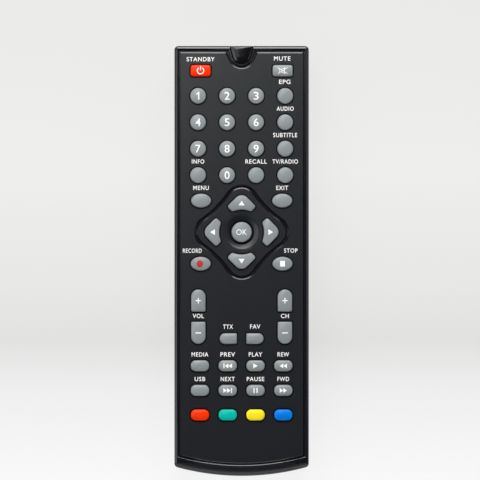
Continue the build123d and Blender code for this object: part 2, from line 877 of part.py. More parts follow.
def battery_springs():
    """The spring at the flat end of each cell."""
    left = Pos(-cell_pitch / 2, cell_well_bottom + contact_thickness, cell_axis) * Rot(-90, 0, 0)
    right = Pos(cell_pitch / 2, cell_well_top - contact_thickness, cell_axis) * Rot(90, 0, 0)
    spring = coil_spring()
    return [left * spring, right * spring]


def case_screws():
    """The two self-tapping screws under the battery door."""
    screws = []
    for x, y in screw_places:
        head_low = screw_seat - screw_head_height
        screw = rod(x, y, screw_head_radius, head_low, screw_seat)
        screw += rod(x, y, screw_radius, screw_seat, screw_end)
        slot = Box(2 * screw_head_radius, screw_slot_width, 2 * screw_slot_depth)
        cross = slot + Rot(0, 0, 90) * slot
        screws.append(screw - Pos(x, y, head_low) * cross)
    return screws


def controller_chip():
    """The controller in its small-outline package, with two rows of legs on the board."""
    leg_high = board_low
    body_high = board_low - chip_lead_thickness / 2
    body = block(
        (-chip_width / 2, chip_width / 2),
        (chip_y - chip_length / 2, chip_y + chip_length / 2),
        (body_high - chip_height, body_high),
    )
    foot_x = chip_width / 2 + chip_lead_reach
    shoulder = body_high - chip_height / 2
    legs = []
    for lead in range(chip_leads):
        y = chip_y + (lead - (chip_leads - 1) / 2) * chip_lead_pitch
        y_range = (y - chip_lead_width / 2, y + chip_lead_width / 2)
        for side in (-1, 1):
            bend = side * (chip_width / 2 + chip_lead_reach / 2)
            x_low, x_high = sorted((side * chip_width / 2, bend))
            legs.append(block((x_low, x_high), y_range, (shoulder, shoulder + chip_lead_thickness)))
            x_low, x_high = sorted((bend, bend - side * chip_lead_thickness))
            legs.append(block((x_low, x_high), y_range, (shoulder, leg_high)))
            x_low, x_high = sorted((bend - side * chip_lead_thickness, side * foot_x))
            legs.append(block((x_low, x_high), y_range, (leg_high - chip_lead_thickness, leg_high)))
    return body + legs


def resonator():
    """The resonator can, standing off the board on its rim."""
    outline = Pos(resonator_x, resonator_y) * RectangleRounded(
        resonator_width, resonator_length, resonator_width / 2 - hair
    )
    rim = Pos(resonator_x, resonator_y) * RectangleRounded(
        resonator_width + smallest_round, resonator_length + smallest_round, resonator_width / 2
    )
    rim_low = board_low - smallest_round
    return plate(outline, board_low - resonator_height, rim_low) + plate(rim, rim_low, board_low)


def capacitor():
    """The round capacitor, lying against the board with its two legs bent up to it."""
    radius = capacitor_diameter / 2
    z = board_low - radius
    low, high = capacitor_y - capacitor_length / 2, capacitor_y + capacitor_length / 2
    can = lying_rod(capacitor_x, z, radius, low, high)
    crimp_y = high - capacitor_length / 4
    ring = lying_rod(capacitor_x, z, radius + beyond, crimp_y, crimp_y + 2 * capacitor_crimp)
    can -= ring - lying_rod(capacitor_x, z, radius - capacitor_crimp, low, high)
    for side in (-1, 1):
        x = capacitor_x + side * capacitor_diameter / 4
        x_range = (x - lamp_lead / 2, x + lamp_lead / 2)
        can += block(x_range, (high, high + 2 * lamp_lead), (z - lamp_lead / 2, z + lamp_lead / 2))
        can += block(x_range, (high + lamp_lead, high + 2 * lamp_lead), (z - lamp_lead / 2, board_low))
    return can


def surface_mount_parts():
    """The lamp's drive transistor and the row of resistors beside it."""
    parts = []
    for place in range(chip_part_count):
        y = chip_part_y - place * chip_part_pitch
        x_range = (chip_part_x - chip_part_length / 2, chip_part_x + chip_part_length / 2)
        y_range = (y - chip_part_width / 2, y + chip_part_width / 2)
        parts.append(block(x_range, y_range, (board_low - chip_part_height, board_low)))
    parts.append(
        block(
            (-transistor_length / 2, transistor_length / 2),
            (chip_part_y - transistor_width / 2, chip_part_y + transistor_width / 2),
            (board_low - transistor_height, board_low),
        )
    )
    return parts


def write_node(name, shape):
    """One named piece, or one group of like pieces, as a STEP file."""
    shapes = shape if isinstance(shape, list) else [shape]
    solids = [solid for item in shapes for solid in item.solids()]
    export_step(Compound(children=solids), os.path.join("parts", name + ".step"))


os.makedirs("parts", exist_ok=True)
all_keys = key_list()
write_node("front_case", front_case(all_keys))
write_node("rear_case", rear_case())
write_node("battery_door", battery_door())
write_node("infrared_window", infrared_window())
write_node("infrared_lamp", infrared_lamp())
write_node("circuit_board", circuit_board(all_keys))
write_node("keypad_mat", keypad_mat(all_keys))
write_node("controller_chip", controller_chip())
write_node("resonator", resonator())
write_node("capacitor", capacitor())
write_node("surface_mount_parts", surface_mount_parts())
write_node("battery_contacts", battery_contacts())
write_node("battery_springs", battery_springs())
write_node("batteries", cells())
write_node("case_screws", case_screws())
for key_name, key_place, key_outline in all_keys:
    write_node("key_" + key_name, key(key_place, key_outline))
print("least gap between spring turns", round(spring_gap(), 2))
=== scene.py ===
"""The remote control, dressed for its photograph from straight above."""

import json
from math import atan2, cos, degrees, dist, hypot, radians, sin, sqrt

import bmesh
import bpy
from mathutils import Matrix, Vector


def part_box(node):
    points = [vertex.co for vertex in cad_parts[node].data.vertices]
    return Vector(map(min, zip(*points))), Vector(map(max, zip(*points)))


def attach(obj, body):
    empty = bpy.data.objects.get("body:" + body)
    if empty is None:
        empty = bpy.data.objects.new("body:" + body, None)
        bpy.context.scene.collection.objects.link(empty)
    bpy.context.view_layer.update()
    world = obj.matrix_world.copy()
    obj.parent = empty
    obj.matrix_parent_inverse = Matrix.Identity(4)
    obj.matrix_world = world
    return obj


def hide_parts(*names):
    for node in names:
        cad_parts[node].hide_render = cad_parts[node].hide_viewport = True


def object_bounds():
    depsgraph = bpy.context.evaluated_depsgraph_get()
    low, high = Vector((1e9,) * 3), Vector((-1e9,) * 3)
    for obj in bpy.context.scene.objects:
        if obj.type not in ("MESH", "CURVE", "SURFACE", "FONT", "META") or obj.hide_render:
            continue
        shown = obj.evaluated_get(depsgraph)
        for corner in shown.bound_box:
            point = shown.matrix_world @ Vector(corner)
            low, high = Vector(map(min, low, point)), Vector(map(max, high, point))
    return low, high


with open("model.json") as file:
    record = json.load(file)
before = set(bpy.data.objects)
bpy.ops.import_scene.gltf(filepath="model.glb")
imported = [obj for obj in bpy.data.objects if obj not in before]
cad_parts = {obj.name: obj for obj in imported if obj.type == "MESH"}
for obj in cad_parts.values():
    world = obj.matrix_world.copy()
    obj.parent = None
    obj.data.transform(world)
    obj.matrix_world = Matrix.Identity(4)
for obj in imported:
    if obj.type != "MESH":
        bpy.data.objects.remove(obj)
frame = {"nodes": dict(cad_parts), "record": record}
cad_low, cad_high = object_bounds()
mm = 0.001


# Rear case
# The lower half of the housing, injection-moulded in black ABS. It carries the battery well, the rails
# of the battery door and the bosses that the two screws pull the front case down on.
def linear(code):
    """An sRGB hex colour as linear red, green, blue and alpha."""
    parts = [int(code[start : start + 2], 16) / 255 for start in (1, 3, 5)]
    return [part / 12.92 if part <= 0.04045 else ((part + 0.055) / 1.055) ** 2.4 for part in parts] + [1.0]


def add(tree, kind, inputs=(), **settings):
    """Adds a node. inputs gives its sockets values or the outputs of other nodes."""
    made = tree.nodes.new(kind)
    for name, value in settings.items():
        setattr(made, name, value)
    for socket, value in dict(inputs).items():
        if isinstance(value, bpy.types.NodeSocket):
            tree.links.new(value, made.inputs[socket])
        else:
            made.inputs[socket].default_value = value
    return made


def new_material(name):
    """A new material, its empty tree and its object coordinates."""
    material = bpy.data.materials.new(name)
    material.use_nodes = True
    tree = material.node_tree
    tree.nodes.clear()
    return material, tree, add(tree, "ShaderNodeTexCoord").outputs["Object"]


def surfaced(tree, inputs):
    """Gives a material's tree its surface and its output."""
    surface = add(tree, "ShaderNodeBsdfPrincipled", inputs)
    add(tree, "ShaderNodeOutputMaterial", {"Surface": surface.outputs["BSDF"]})


def two_toned(tree, tones, drift, grain, roughness, swing, relief, finish):
    """A surface of two tones mixed by drift, whose roughness and relief follow its grain."""
    mixed = {0: drift, 6: linear(tones[0]), 7: linear(tones[1])}
    shade = add(tree, "ShaderNodeMix", mixed, data_type="RGBA")
    limits = {"Value": grain, "To Min": roughness - swing, "To Max": roughness + swing}
    gloss = add(tree, "ShaderNodeMapRange", limits)
    bump = add(tree, "ShaderNodeBump", {"Height": grain, "Distance": relief})
    inputs = {"Base Color": shade.outputs[2], "Roughness": gloss.outputs["Result"]}
    surfaced(tree, {**inputs, "Normal": bump.outputs["Normal"], **finish})


def moulded(name, colour, tone, roughness, grain, relief, finish=()):
    """A moulded surface: its colour drifts to a second tone, under the fine grain of its mould."""
    material, tree, place = new_material(name)
    patch, swing = 9 * mm, 0.06
    flow = add(tree, "ShaderNodeTexNoise", {"Vector": place, "Scale": 1 / patch, "Detail": 2.0})
    grains = add(tree, "ShaderNodeTexNoise", {"Vector": place, "Scale": 1 / grain, "Detail": 3.0})
    drift, fine = flow.outputs["Fac"], grains.outputs["Fac"]
    two_toned(tree, (colour, tone), drift, fine, roughness, swing, relief, dict(finish))
    return material


def placed(name, data):
    """A new object in the scene."""
    made = bpy.data.objects.new(name, data)
    bpy.context.scene.collection.objects.link(made)
    return made


def settled(seed):
    """A bmesh of what a scratch object shows. The object itself is removed."""
    seen = seed.evaluated_get(bpy.context.evaluated_depsgraph_get())
    shape = bmesh.new()
    shape.from_mesh(bpy.data.meshes.new_from_object(seen))
    bpy.data.objects.remove(seed)
    return shape


def meshed(name, shape, materials=()):
    """The mesh of a bmesh, which is freed."""
    mesh = bpy.data.meshes.new(name)
    shape.to_mesh(mesh)
    shape.free()
    for material in materials:
        mesh.materials.append(material)
    return mesh


def outward(shape):
    """Turns the faces of a closed bmesh outwards."""
    bmesh.ops.recalc_face_normals(shape, faces=shape.faces)


def joined(node):
    """A bmesh of a node's solids with their loose triangles joined."""
    shape = bmesh.new()
    shape.from_mesh(frame["nodes"][node].data)
    bmesh.ops.remove_doubles(shape, verts=shape.verts, dist=0.0005 * mm)
    return shape


def piece(name, shape, materials, nodes, body, crease=30):
    """A finished piece, smooth up to crease degrees, that stands in for its nodes on a body."""
    mesh = meshed(name, shape, materials)
    mesh.shade_smooth()
    mesh.set_sharp_from_angle(angle=radians(crease))
    made = placed(name, mesh)
    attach(made, body)
    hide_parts(*nodes)
    return made


def dressed(name, node, material, body="root", crease=30):
    """A piece in the shape of one node's solids, of one material."""
    piece(name, joined(node), [material], [node], body, crease)


# Black ABS from a spark-eroded mould: a fine even grain that breaks the gloss into a soft sheen.
# The real grain is about 0.1 mm; it is drawn at 0.4 mm so that it shows.
black_abs = moulded("black_abs", "#111318", "#15171b", 0.33, 0.4 * mm, 0.012 * mm, {"IOR": 1.5})
dressed("rear_shell", "rear_case", black_abs)


# Battery door
# The sliding cover of the battery well, moulded in the same ABS as the case. The grip near its top is a
# row of grooves, and each land between them is crowned into a small rib for the thumb.
dressed("door_cover", "battery_door", black_abs, "battery_door")
door_low, door_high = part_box("battery_door")
rib_half = 7.8 * mm
rib_radius = 0.5 * mm
rib_stands = 0.1 * mm
rib_pitch = 1.8 * mm
first_rib = 7.3 * mm
rib_inputs = {
    "Count": ("NodeSocketInt", 6),
    "Radius": ("NodeSocketFloat", rib_radius),
    "Left": ("NodeSocketVector", (-rib_half, 0, 0)),
    "Right": ("NodeSocketVector", (rib_half, 0, 0)),
    "First": ("NodeSocketVector", (0, door_high.y - first_rib, door_low.z + rib_radius - rib_stands)),
    "Step": ("NodeSocketVector", (0, -rib_pitch, 0)),
}
rib_tree = bpy.data.node_groups.new("grip_ribs", "GeometryNodeTree")
rib_tree.interface.new_socket("Geometry", in_out="OUTPUT", socket_type="NodeSocketGeometry")
for name, (kind, _) in rib_inputs.items():
    rib_tree.interface.new_socket(name, in_out="INPUT", socket_type=kind)
rib_in = add(rib_tree, "NodeGroupInput").outputs
rib_ends = {"Start": rib_in["Left"], "End": rib_in["Right"]}
rib_line = add(rib_tree, "GeometryNodeCurvePrimitiveLine", rib_ends).outputs[0]
rib_round = {"Resolution": 16, "Radius": rib_in["Radius"]}
rib_section = add(rib_tree, "GeometryNodeCurvePrimitiveCircle", rib_round).outputs[0]
rib_sweep = {"Curve": rib_line, "Profile Curve": rib_section, "Fill Caps": True}
rib_bar = add(rib_tree, "GeometryNodeCurveToMesh", rib_sweep).outputs[0]
rib_row = {"Count": rib_in["Count"], "Start Location": rib_in["First"], "Offset": rib_in["Step"]}
rib_places = add(rib_tree, "GeometryNodeMeshLine", rib_row).outputs[0]
rib_copies = {"Points": rib_places, "Instance": rib_bar}
rib_all = add(rib_tree, "GeometryNodeInstanceOnPoints", rib_copies).outputs[0]
rib_real = add(rib_tree, "GeometryNodeRealizeInstances", {"Geometry": rib_all}).outputs[0]
rib_coat = {"Geometry": rib_real, "Material": black_abs}
rib_finish = add(rib_tree, "GeometryNodeSetMaterial", rib_coat).outputs[0]
add(rib_tree, "NodeGroupOutput", {"Geometry": rib_finish})
rib_seed = placed("grip_ribs", bpy.data.meshes.new("grip_ribs"))
rib_modifier = rib_seed.modifiers.new("grip_ribs", "NODES")
rib_modifier.node_group = rib_tree
for socket in rib_tree.interface.items_tree:
    if socket.in_out == "INPUT":
        rib_modifier[socket.identifier] = rib_inputs[socket.name][1]
piece("door_grip_ribs", settled(rib_seed), [black_abs], [], "battery_door")


# Battery contacts and springs
# Bent strips of nickel-plated spring steel slid into the well's ends, and two cone springs wound from
# 0.6 mm wire that press on the flat ends of the cells.
def metal(name, colour, tone, roughness, streak, relief):
    """A metal whose gloss and relief follow fine streaks, left by rolling, drawing or plating."""
    material, tree, place = new_material(name)
    stretch, swing = 0.08, 0.08
    drawn = add(tree, "ShaderNodeMapping", {"Vector": place, "Scale": (1, stretch, 1)}).outputs[0]
    streaks = add(tree, "ShaderNodeTexNoise", {"Vector": drawn, "Scale": 1 / streak, "Detail": 2.0})
    fine = streaks.outputs["Fac"]
    two_toned(tree, (colour, tone), fine, fine, roughness, swing, relief, {"Metallic": 1.0})
    return material


# Nickel plate on rolled strip and drawn wire: warm grey, bright, with streaks along the rolling.
nickel_plate = metal("nickel_plate", "#c9c4b8", "#b4afa2", 0.3, 0.25 * mm, 0.003 * mm)
dressed("contact_strips", "battery_contacts", nickel_plate)
dressed("cone_springs", "battery_springs", nickel_plate, crease=60)


# Cells
# Two AAA cells side by side, pointing opposite ways: steel cans in plain shrunk sleeves that curl over
# both ends, with a bare nub at one end and a bare flat disc at the other.
def facing(angle):
    """The direction of an angle in degrees, as x and y."""
    return cos(radians(angle)), sin(radians(angle))


def around(items):
    """Each item of a list with the one after it, and the last with the first."""
    return zip(items, items[1:] + items[:1])


def turned(shape, profile, start, along, across, materials=None, steps=48):
    """Adds a turned solid: profile is a list of (radius, distance from start along the axis)."""
    side = along.cross(across)
    turns = [facing(360 * step / steps) for step in range(steps)]
    rings = []
    for radius, far in profile:
        middle = start + along * far
        if radius == 0:
            rings.append([shape.verts.new(middle)] * steps)
            continue
        points = [middle + (across * c + side * s) * radius for c, s in turns]
        rings.append([shape.verts.new(point) for point in points])
    for number, (near, far) in enumerate(zip(rings, rings[1:])):
        for (a, b), (c, d) in zip(around(near), around(far)):
            face = shape.faces.new(list(dict.fromkeys((a, b, d, c))))
            face.material_index = materials[number] if materials else 0


cell_low, cell_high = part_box("batteries")
cell_radius = (cell_high.z - cell_low.z) / 2
cell_middle_z = (cell_high.z + cell_low.z) / 2
cell_length = 44.5 * mm
cell_nub = 1.0 * mm
sleeve_curl = 0.5 * mm
disc_radius = 4.3 * mm
nub_radius = 1.9 * mm
band_start = 33.0 * mm
cell_body = cell_length - cell_nub
curl_in = cell_radius - sleeve_curl
chamfer = 0.15 * mm
round_off = 0.25 * mm
cell_profile = [
    (0, round_off),
    (disc_radius, round_off),
    (disc_radius, 0.05 * mm),
    (curl_in, 0),
    (cell_radius - chamfer, 0.12 * mm),
    (cell_radius, sleeve_curl),
    (cell_radius, band_start),
    (cell_radius, cell_body - sleeve_curl),
    (cell_radius - chamfer, cell_body - 0.12 * mm),
    (curl_in, cell_body),
    (curl_in - 0.2 * mm, cell_body - chamfer),
    (nub_radius + 1.2 * mm, cell_body - chamfer),
    (nub_radius + 1.0 * mm, cell_body),
    (nub_radius + 0.1 * mm, cell_body),
    (nub_radius, cell_length - round_off),
    (nub_radius - round_off, cell_length),
    (0, cell_length),
]
sleeve, band, bare = 0, 1, 2
cell_finishes = [bare] * 2 + [sleeve] * 4 + [band] * 3 + [sleeve] * 2 + [bare] * 5
cells = bmesh.new()
up = Vector((0, 0, 1))
for side, end in ((-1, cell_high.y), (1, cell_low.y)):
    along = Vector((0, -side, 0))
    start = Vector((side * (cell_high.x - cell_radius), end, cell_middle_z)) - along * cell_length
    turned(cells, cell_profile, start, along, up, cell_finishes)
outward(cells)
# Shrunk PVC sleeve: glossy, with a faint ripple left by the heat.
glaze = {"Coat Weight": 0.4}
cell_black = moulded("shrunk_sleeve_black", "#17181b", "#1d1e22", 0.24, 3.0 * mm, 0.01 * mm, glaze)
cell_copper = moulded("shrunk_sleeve_copper", "#b5692e", "#a95f28", 0.26, 3.0 * mm, 0.01 * mm, glaze)
piece("cell_pair", cells, [cell_black, cell_copper, nickel_plate], ["batteries"], "root")


# Circuit board and the parts soldered under it
# A paper-laminate board with green solder mask, carrying printed carbon contacts under the keys, the
# controller in its small-outline package, a resonator can, one capacitor and a few chip resistors.
def laminate():
    """Green solder mask over paper laminate: copper tracks show through as paler ridges."""
    material, tree, place = new_material("solder_mask_green")
    greens = {"Color1": linear("#1f4a2c"), "Color2": linear("#235232"), "Mortar": linear("#3d7a48")}
    sizes = {"Scale": 1 / mm, "Mortar Size": 0.22, "Brick Width": 9.0, "Row Height": 1.6}
    tracks = add(tree, "ShaderNodeTexBrick", {"Vector": place, **greens, **sizes})
    bump = add(tree, "ShaderNodeBump", {"Height": tracks.outputs["Fac"], "Distance": 0.035 * mm})
    inputs = {"Base Color": tracks.outputs["Color"], "Roughness": 0.35, "Coat Weight": 0.3}
    surfaced(tree, {**inputs, "Normal": bump.outputs["Normal"]})
    return material


dressed("keypad_board", "circuit_board", laminate())
# Moulded epoxy: matt charcoal with a slight grit.
chip_epoxy = moulded("moulded_epoxy", "#1a1a1b", "#202021", 0.6, 0.15 * mm, 0.006 * mm)
# Tinned legs and a drawn steel can: soft bright metal.
can_steel = metal("drawn_can_steel", "#b9babb", "#a5a7a9", 0.28, 0.3 * mm, 0.002 * mm)
tin_plate = metal("tinned_copper", "#c6c7c6", "#b2b3b1", 0.34, 0.2 * mm, 0.002 * mm)

chip = joined("controller_chip")
legs_start = 3.76 * mm
for face in chip.faces:
    if abs(face.calc_center_median().x) > legs_start:
        face.material_index = 1
piece("controller_package", chip, [chip_epoxy, tin_plate], ["controller_chip"], "root")
dressed("resonator_can", "resonator", can_steel)
# Shrunk sleeve on the capacitor's can: dark blue and glossy.
blue_sleeve = moulded("shrunk_sleeve_blue", "#1b2a5c", "#20306a", 0.25, 2.0 * mm, 0.01 * mm)
capacitor = joined("capacitor")
bare_can = 0.98 * mm
for face in capacitor.faces:
    if face.calc_center_median().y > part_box("capacitor")[1].y - bare_can:
        face.material_index = 1
piece("capacitor_can", capacitor, [blue_sleeve, tin_plate], ["capacitor"], "root")
dressed("chip_resistors", "surface_mount_parts", chip_epoxy)


# Infrared lamp
# A 5 mm lamp of clear epoxy lying in the board's notch, its dome towards the window and its two tinned
# legs bent along the board.
lamp_low, lamp_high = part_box("infrared_lamp")
lamp_flange = 2.9 * mm
lamp_radius = 2.5 * mm
lamp_flange_height = 1.0 * mm
lamp_length = 8.6 * mm
lamp_axis = lamp_high.z - lamp_flange
lamp_back = lamp_high.y - lamp_length
lamp_profile = [(0, 0), (lamp_flange, 0)]
lamp_profile += [(lamp_flange, lamp_flange_height), (lamp_radius, lamp_flange_height)]
lamp_rise = lamp_length - lamp_radius
for turn in range(0, 91, 9):
    c, s = facing(turn)
    lamp_profile.append((lamp_radius * c if turn < 90 else 0, lamp_rise + lamp_radius * s))
lamp = bmesh.new()
turned(lamp, lamp_profile, Vector((0, lamp_back, lamp_axis)), Vector((0, 1, 0)), up)
body_faces = len(lamp.faces)
leg = 0.5 * mm
leg_pitch = 2.54 * mm
for side in (-1, 1):
    size = Vector((leg, lamp_back - lamp_low.y, leg))
    middle = Vector((side * leg_pitch / 2, (lamp_back + lamp_low.y) / 2, lamp_axis))
    bmesh.ops.create_cube(lamp, size=1, matrix=Matrix.LocRotScale(middle, None, size))
lamp.faces.ensure_lookup_table()
for face in lamp.faces[body_faces:]:
    face.material_index = 1
outward(lamp)
# Clear cast epoxy with a blue tint: it bends and passes light like thick glass.
clear = {"Transmission Weight": 0.7, "IOR": 1.54}
lamp_epoxy = moulded("cast_epoxy_clear", "#aab7dc", "#a2b0d8", 0.1, 4.0 * mm, 0.002 * mm, clear)
piece("infrared_emitter", lamp, [lamp_epoxy, tin_plate], ["infrared_lamp"], "root")


# Keypad mat
# One sheet of soft silicone moulded with a thin-walled dome under every key, laid on the board and held
# down by the posts of the front case.
# Bare grey silicone: dull and even.
mat_silicone = moulded("silicone_grey", "#7f8384", "#868a8b", 0.62, 0.5 * mm, 0.008 * mm)
dressed("dome_sheet", "keypad_mat", mat_silicone)


# Keys
# Each key is a soft silicone cap with a rounded edge and a domed top, on a flange under the face and a
# round foot with a carbon pill. Five caps are coloured and the others grey, with printed signs.
touching = 0.001 * mm


def arc(x, y, radius, start, end, steps, hollow=False):
    """Stations along an arc, each a point with the direction in which the outline grows."""
    sign = -1 if hollow else 1
    stations = []
    for step in range(steps + 1):
        right, upward = facing(start + (end - start) * step / steps)
        stations.append((x + radius * right, y + radius * upward, sign * right, sign * upward))
    return stations


def chained(parts, between):
    """Arcs joined into one outline, with so many stations on each straight stretch."""
    stations = []
    for part, following in around(parts):
        start, end = part[-1], following[0]
        if dist(start[:2], end[:2]) < touching:
            stations += part[:-1]
            continue
        stations += part
        for step in range(1, between + 1):
            share = step / (between + 1)
            stations.append(tuple(a + (b - a) * share for a, b in zip(start, end)))
    return stations


def grown_by(stations, grow):
    """The outline's points, moved outwards by grow."""
    return [(x + right * grow, y + upward * grow) for x, y, right, upward in stations]


def shrunk(points, middle, share):
    """Points drawn in towards a middle."""
    return [(middle[0] + (x - middle[0]) * share, middle[1] + (y - middle[1]) * share) for x, y in points]


def turned_by(stations, middle, angle):
    """The outline turned about the origin and moved to its middle."""
    c, s = facing(angle)
    return [
        (middle[0] + x * c - y * s, middle[1] + x * s + y * c, right * c - upward * s, right * s + upward * c)
        for x, y, right, upward in stations
    ]


def oval_outline(half_width, half_height, steps=56):
    """An ellipse about the origin."""
    stations = []
    for step in range(steps):
        c, s = facing(360 * step / steps)
        right, upward = c / half_width, s / half_height
        long = hypot(right, upward)
        stations.append((half_width * c, half_height * s, right / long, upward / long))
    return stations


def soft_outline(half_width, half_height, right_round, left_round):
    """A rectangle about the origin whose corners have one radius at its right and one at its left."""
    parts = []
    for side, top, start in ((1, 1, 0), (-1, 1, 90), (-1, -1, 180), (1, -1, 270)):
        corner = right_round if side > 0 else left_round
        place = (side * (half_width - corner), top * (half_height - corner))
        parts.append(arc(*place, corner, start, start + 90, 9))
    return chained(parts, 3)


arrow_side = 10.55 * mm
arrow_tip_round = 2.9 * mm
arrow_inner = 8.33 * mm
arrow_cut = 2.83 * mm
arrow_corner = 0.95 * mm


def arrow_outline():
    """The corner of a square on its tip, hollowed by a circle, pointing up from the origin."""
    half = sqrt(0.5)
    tip = (arrow_side - arrow_tip_round) / half
    lift = arrow_cut + arrow_corner
    reach = sqrt((arrow_inner + arrow_corner) ** 2 - lift**2)
    outer = ((arrow_side - arrow_corner - lift) * half, (arrow_side - arrow_corner + lift) * half)
    inner = ((reach - lift) * half, (reach + lift) * half)
    lean = degrees(atan2(inner[1], inner[0]))
    parts = [
        arc(0, tip, arrow_tip_round, 45, 135, 12),
        arc(-outer[0], outer[1], arrow_corner, 135, 225, 6),
        arc(-inner[0], inner[1], arrow_corner, 225, 360 - lean, 5),
        arc(0, 0, arrow_inner, 180 - lean, lean, 12, hollow=True),
        arc(inner[0], inner[1], arrow_corner, 180 + lean, 315, 5),
        arc(outer[0], outer[1], arrow_corner, -45, 45, 6),
    ]
    return chained(parts, 2)


key_flange = 0.8 * mm
arrow_turns = {"right": -90, "up": 0, "left": 90, "down": 180}
key_slots = {
    part["node"].removeprefix("key_"): part["material_slot"]
    for part in frame["record"]["subparts"]
    if part["node"].startswith("key_")
}
key_boxes = {name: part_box("key_" + name) for name in key_slots}


def cap_box(name):
    """The middle of a key's cap and half its width and height: its box less the flange."""
    low, high = key_boxes[name]
    middle = ((low.x + high.x) / 2, (low.y + high.y) / 2)
    return middle, ((high.x - low.x) / 2 - key_flange, (high.y - low.y) / 2 - key_flange)


pad_middle = cap_box("ok")[0]


def from_pad(name, reach):
    """The point at a distance from the pad's middle, towards an arrow key."""
    right, upward = facing(arrow_turns[name] + 90)
    return (pad_middle[0] + reach * right, pad_middle[1] + reach * upward)


def key_middle(name):
    """The middle of a key's foot, seen from above."""
    if name not in arrow_turns:
        return cap_box(name)[0]
    return from_pad(name, (arrow_inner + arrow_side / sqrt(0.5) - arrow_tip_round / 2) / 2)


nose_turns = {"favourite": 0, "text": 180, "volume_up": 90, "channel_up": 90}
nose_turns |= {"volume_down": 270, "channel_down": 270}
player_keys = ("media", "previous", "play", "rewind", "usb", "next", "pause", "forward")
colour_keys = ("red", "green", "yellow", "blue")
corner_rounds = dict.fromkeys(("standby", "mute"), 0.9 * mm)
corner_rounds |= dict.fromkeys(player_keys + colour_keys, 1.85 * mm)
nose_flat = 0.05 * mm
tail_round = 0.5 * mm


def key_outline(name):
    """The outline of a key's cap in its place. A nose is drawn pointing right, then turned."""
    if name in arrow_turns:
        return turned_by(arrow_outline(), pad_middle, arrow_turns[name])
    turn = nose_turns.get(name, 0)
    half_long, half_wide = cap_box(name)[1]
    if turn % 180:
        half_long, half_wide = half_wide, half_long
    if name in nose_turns:
        shape = soft_outline(half_long, half_wide, half_wide - nose_flat, tail_round)
    elif name in corner_rounds:
        shape = soft_outline(half_long, half_wide, corner_rounds[name], corner_rounds[name])
    elif name in ("menu", "exit", "record", "stop"):
        shape = oval_outline(half_long, half_wide)
    else:
        shape = oval_outline(half_long, half_long, 48)
    return turned_by(shape, key_middle(name), turn)


def ring(shape, points, height, drop=0):
    """New vertices at points, at one height or a drop below the height a function gives."""
    if callable(height):
        return [shape.verts.new((x, y, height(x, y) - drop)) for x, y in points]
    return [shape.verts.new((x, y, height)) for x, y in points]


def skin(shape, rings, index=0):
    """Bands of faces from each ring to the next, which has as many vertices."""
    for low, high in zip(rings, rings[1:]):
        for (a, b), (c, d) in zip(around(low), around(high)):
            face = shape.faces.new((a, b, d, c))
            face.material_index = index


def closed_in(shape, edge, x, y, z, index=0):
    """Closes a ring with a fan of faces about one middle point."""
    middle = shape.verts.new((x, y, z))
    for start, end in around(edge):
        face = shape.faces.new((start, end, middle))
        face.material_index = index


key_edge = 0.4 * mm
key_crown = 0.42 * mm
crown_power = 1.2
foot_radius = 1.7 * mm
pill_radius = 1.5 * mm
pill_height = 0.6 * mm
flange_height = 0.8 * mm
cap_height = 3.2 * mm


def crown_of(name):
    """A function that gives the height of a key's domed top over a point."""
    middle, half = cap_box(name)

    def height(x, y):
        away = ((x - middle[0]) / half[0]) ** 2 + ((y - middle[1]) / half[1]) ** 2
        return key_boxes[name][1].z - key_crown * away**crown_power

    return height


def key_shape(name):
    """The closed shape of one key, from its carbon pill up to its top."""
    shape = bmesh.new()
    low, high = key_boxes[name]
    crown = crown_of(name)
    stations = key_outline(name)
    middle = key_middle(name)
    turns = [atan2(y - middle[1], x - middle[0]) for x, y in grown_by(stations, 0)]
    foot = [(*middle, cos(turn), sin(turn)) for turn in turns]
    flange_high = high.z - cap_height
    flange_low = flange_high - flange_height
    pill_high = low.z + pill_height
    levels = (
        (foot, pill_radius, low.z),
        (foot, pill_radius, pill_high),
        (foot, foot_radius, pill_high),
        (foot, foot_radius, flange_low),
        (stations, key_flange, flange_low),
        (stations, key_flange, flange_high),
        (stations, 0, flange_high),
    )
    rings = [ring(shape, grown_by(line, grow), height) for line, grow, height in levels]
    # The foot, flange and sides take the near-black silicone that paints the shade in the gap round the cap.
    carbon, silicone, painted_skirt = 0, 1, 4
    skirt_end = len(rings)
    for turn in range(0, 91, 18):
        c, s = facing(turn)
        rings.append(ring(shape, grown_by(stations, key_edge * (c - 1)), crown, key_edge * (1 - s)))
    top = grown_by(stations, -key_edge)
    rings += [ring(shape, shrunk(top, middle, share), crown) for share in (0.85, 0.65, 0.45, 0.25)]
    closed_in(shape, rings[0], *middle, low.z, carbon)
    skin(shape, rings[:2], carbon)
    skin(shape, rings[1 : skirt_end + 1], painted_skirt)
    skin(shape, rings[skirt_end:], silicone)
    closed_in(shape, rings[-1], *middle, high.z, silicone)
    outward(shape)
    return shape


def lettering(words, width, height, weight, spacing=1.0):
    """Some words in a bmesh, centred on the origin, width by height and from -0.5 to 0.5 thick."""
    curve = bpy.data.curves.new(words, "FONT")
    curve.body = words
    curve.offset = weight
    curve.extrude = 0.5
    curve.space_character = spacing
    curve.resolution_u = 4
    letters = settled(placed(words, curve))
    bmesh.ops.remove_doubles(letters, verts=letters.verts, dist=0.0002)
    outward(letters)
    for face in letters.faces:
        if face.normal.z * face.calc_center_median().z < 0:
            face.normal_flip()
    across, upward = ([vertex.co[axis] for vertex in letters.verts] for axis in (0, 1))
    spread = (width / (max(across) - min(across)), height / (max(upward) - min(upward)), 1, 1)
    middle = (-(max(across) + min(across)) / 2, -(max(upward) + min(upward)) / 2, 0)
    letters.transform(Matrix.Diagonal(spread) @ Matrix.Translation(middle))
    return letters


ink_lift = 0.03 * mm
ink_sink = 0.05 * mm
ink_pitch = 0.5 * mm


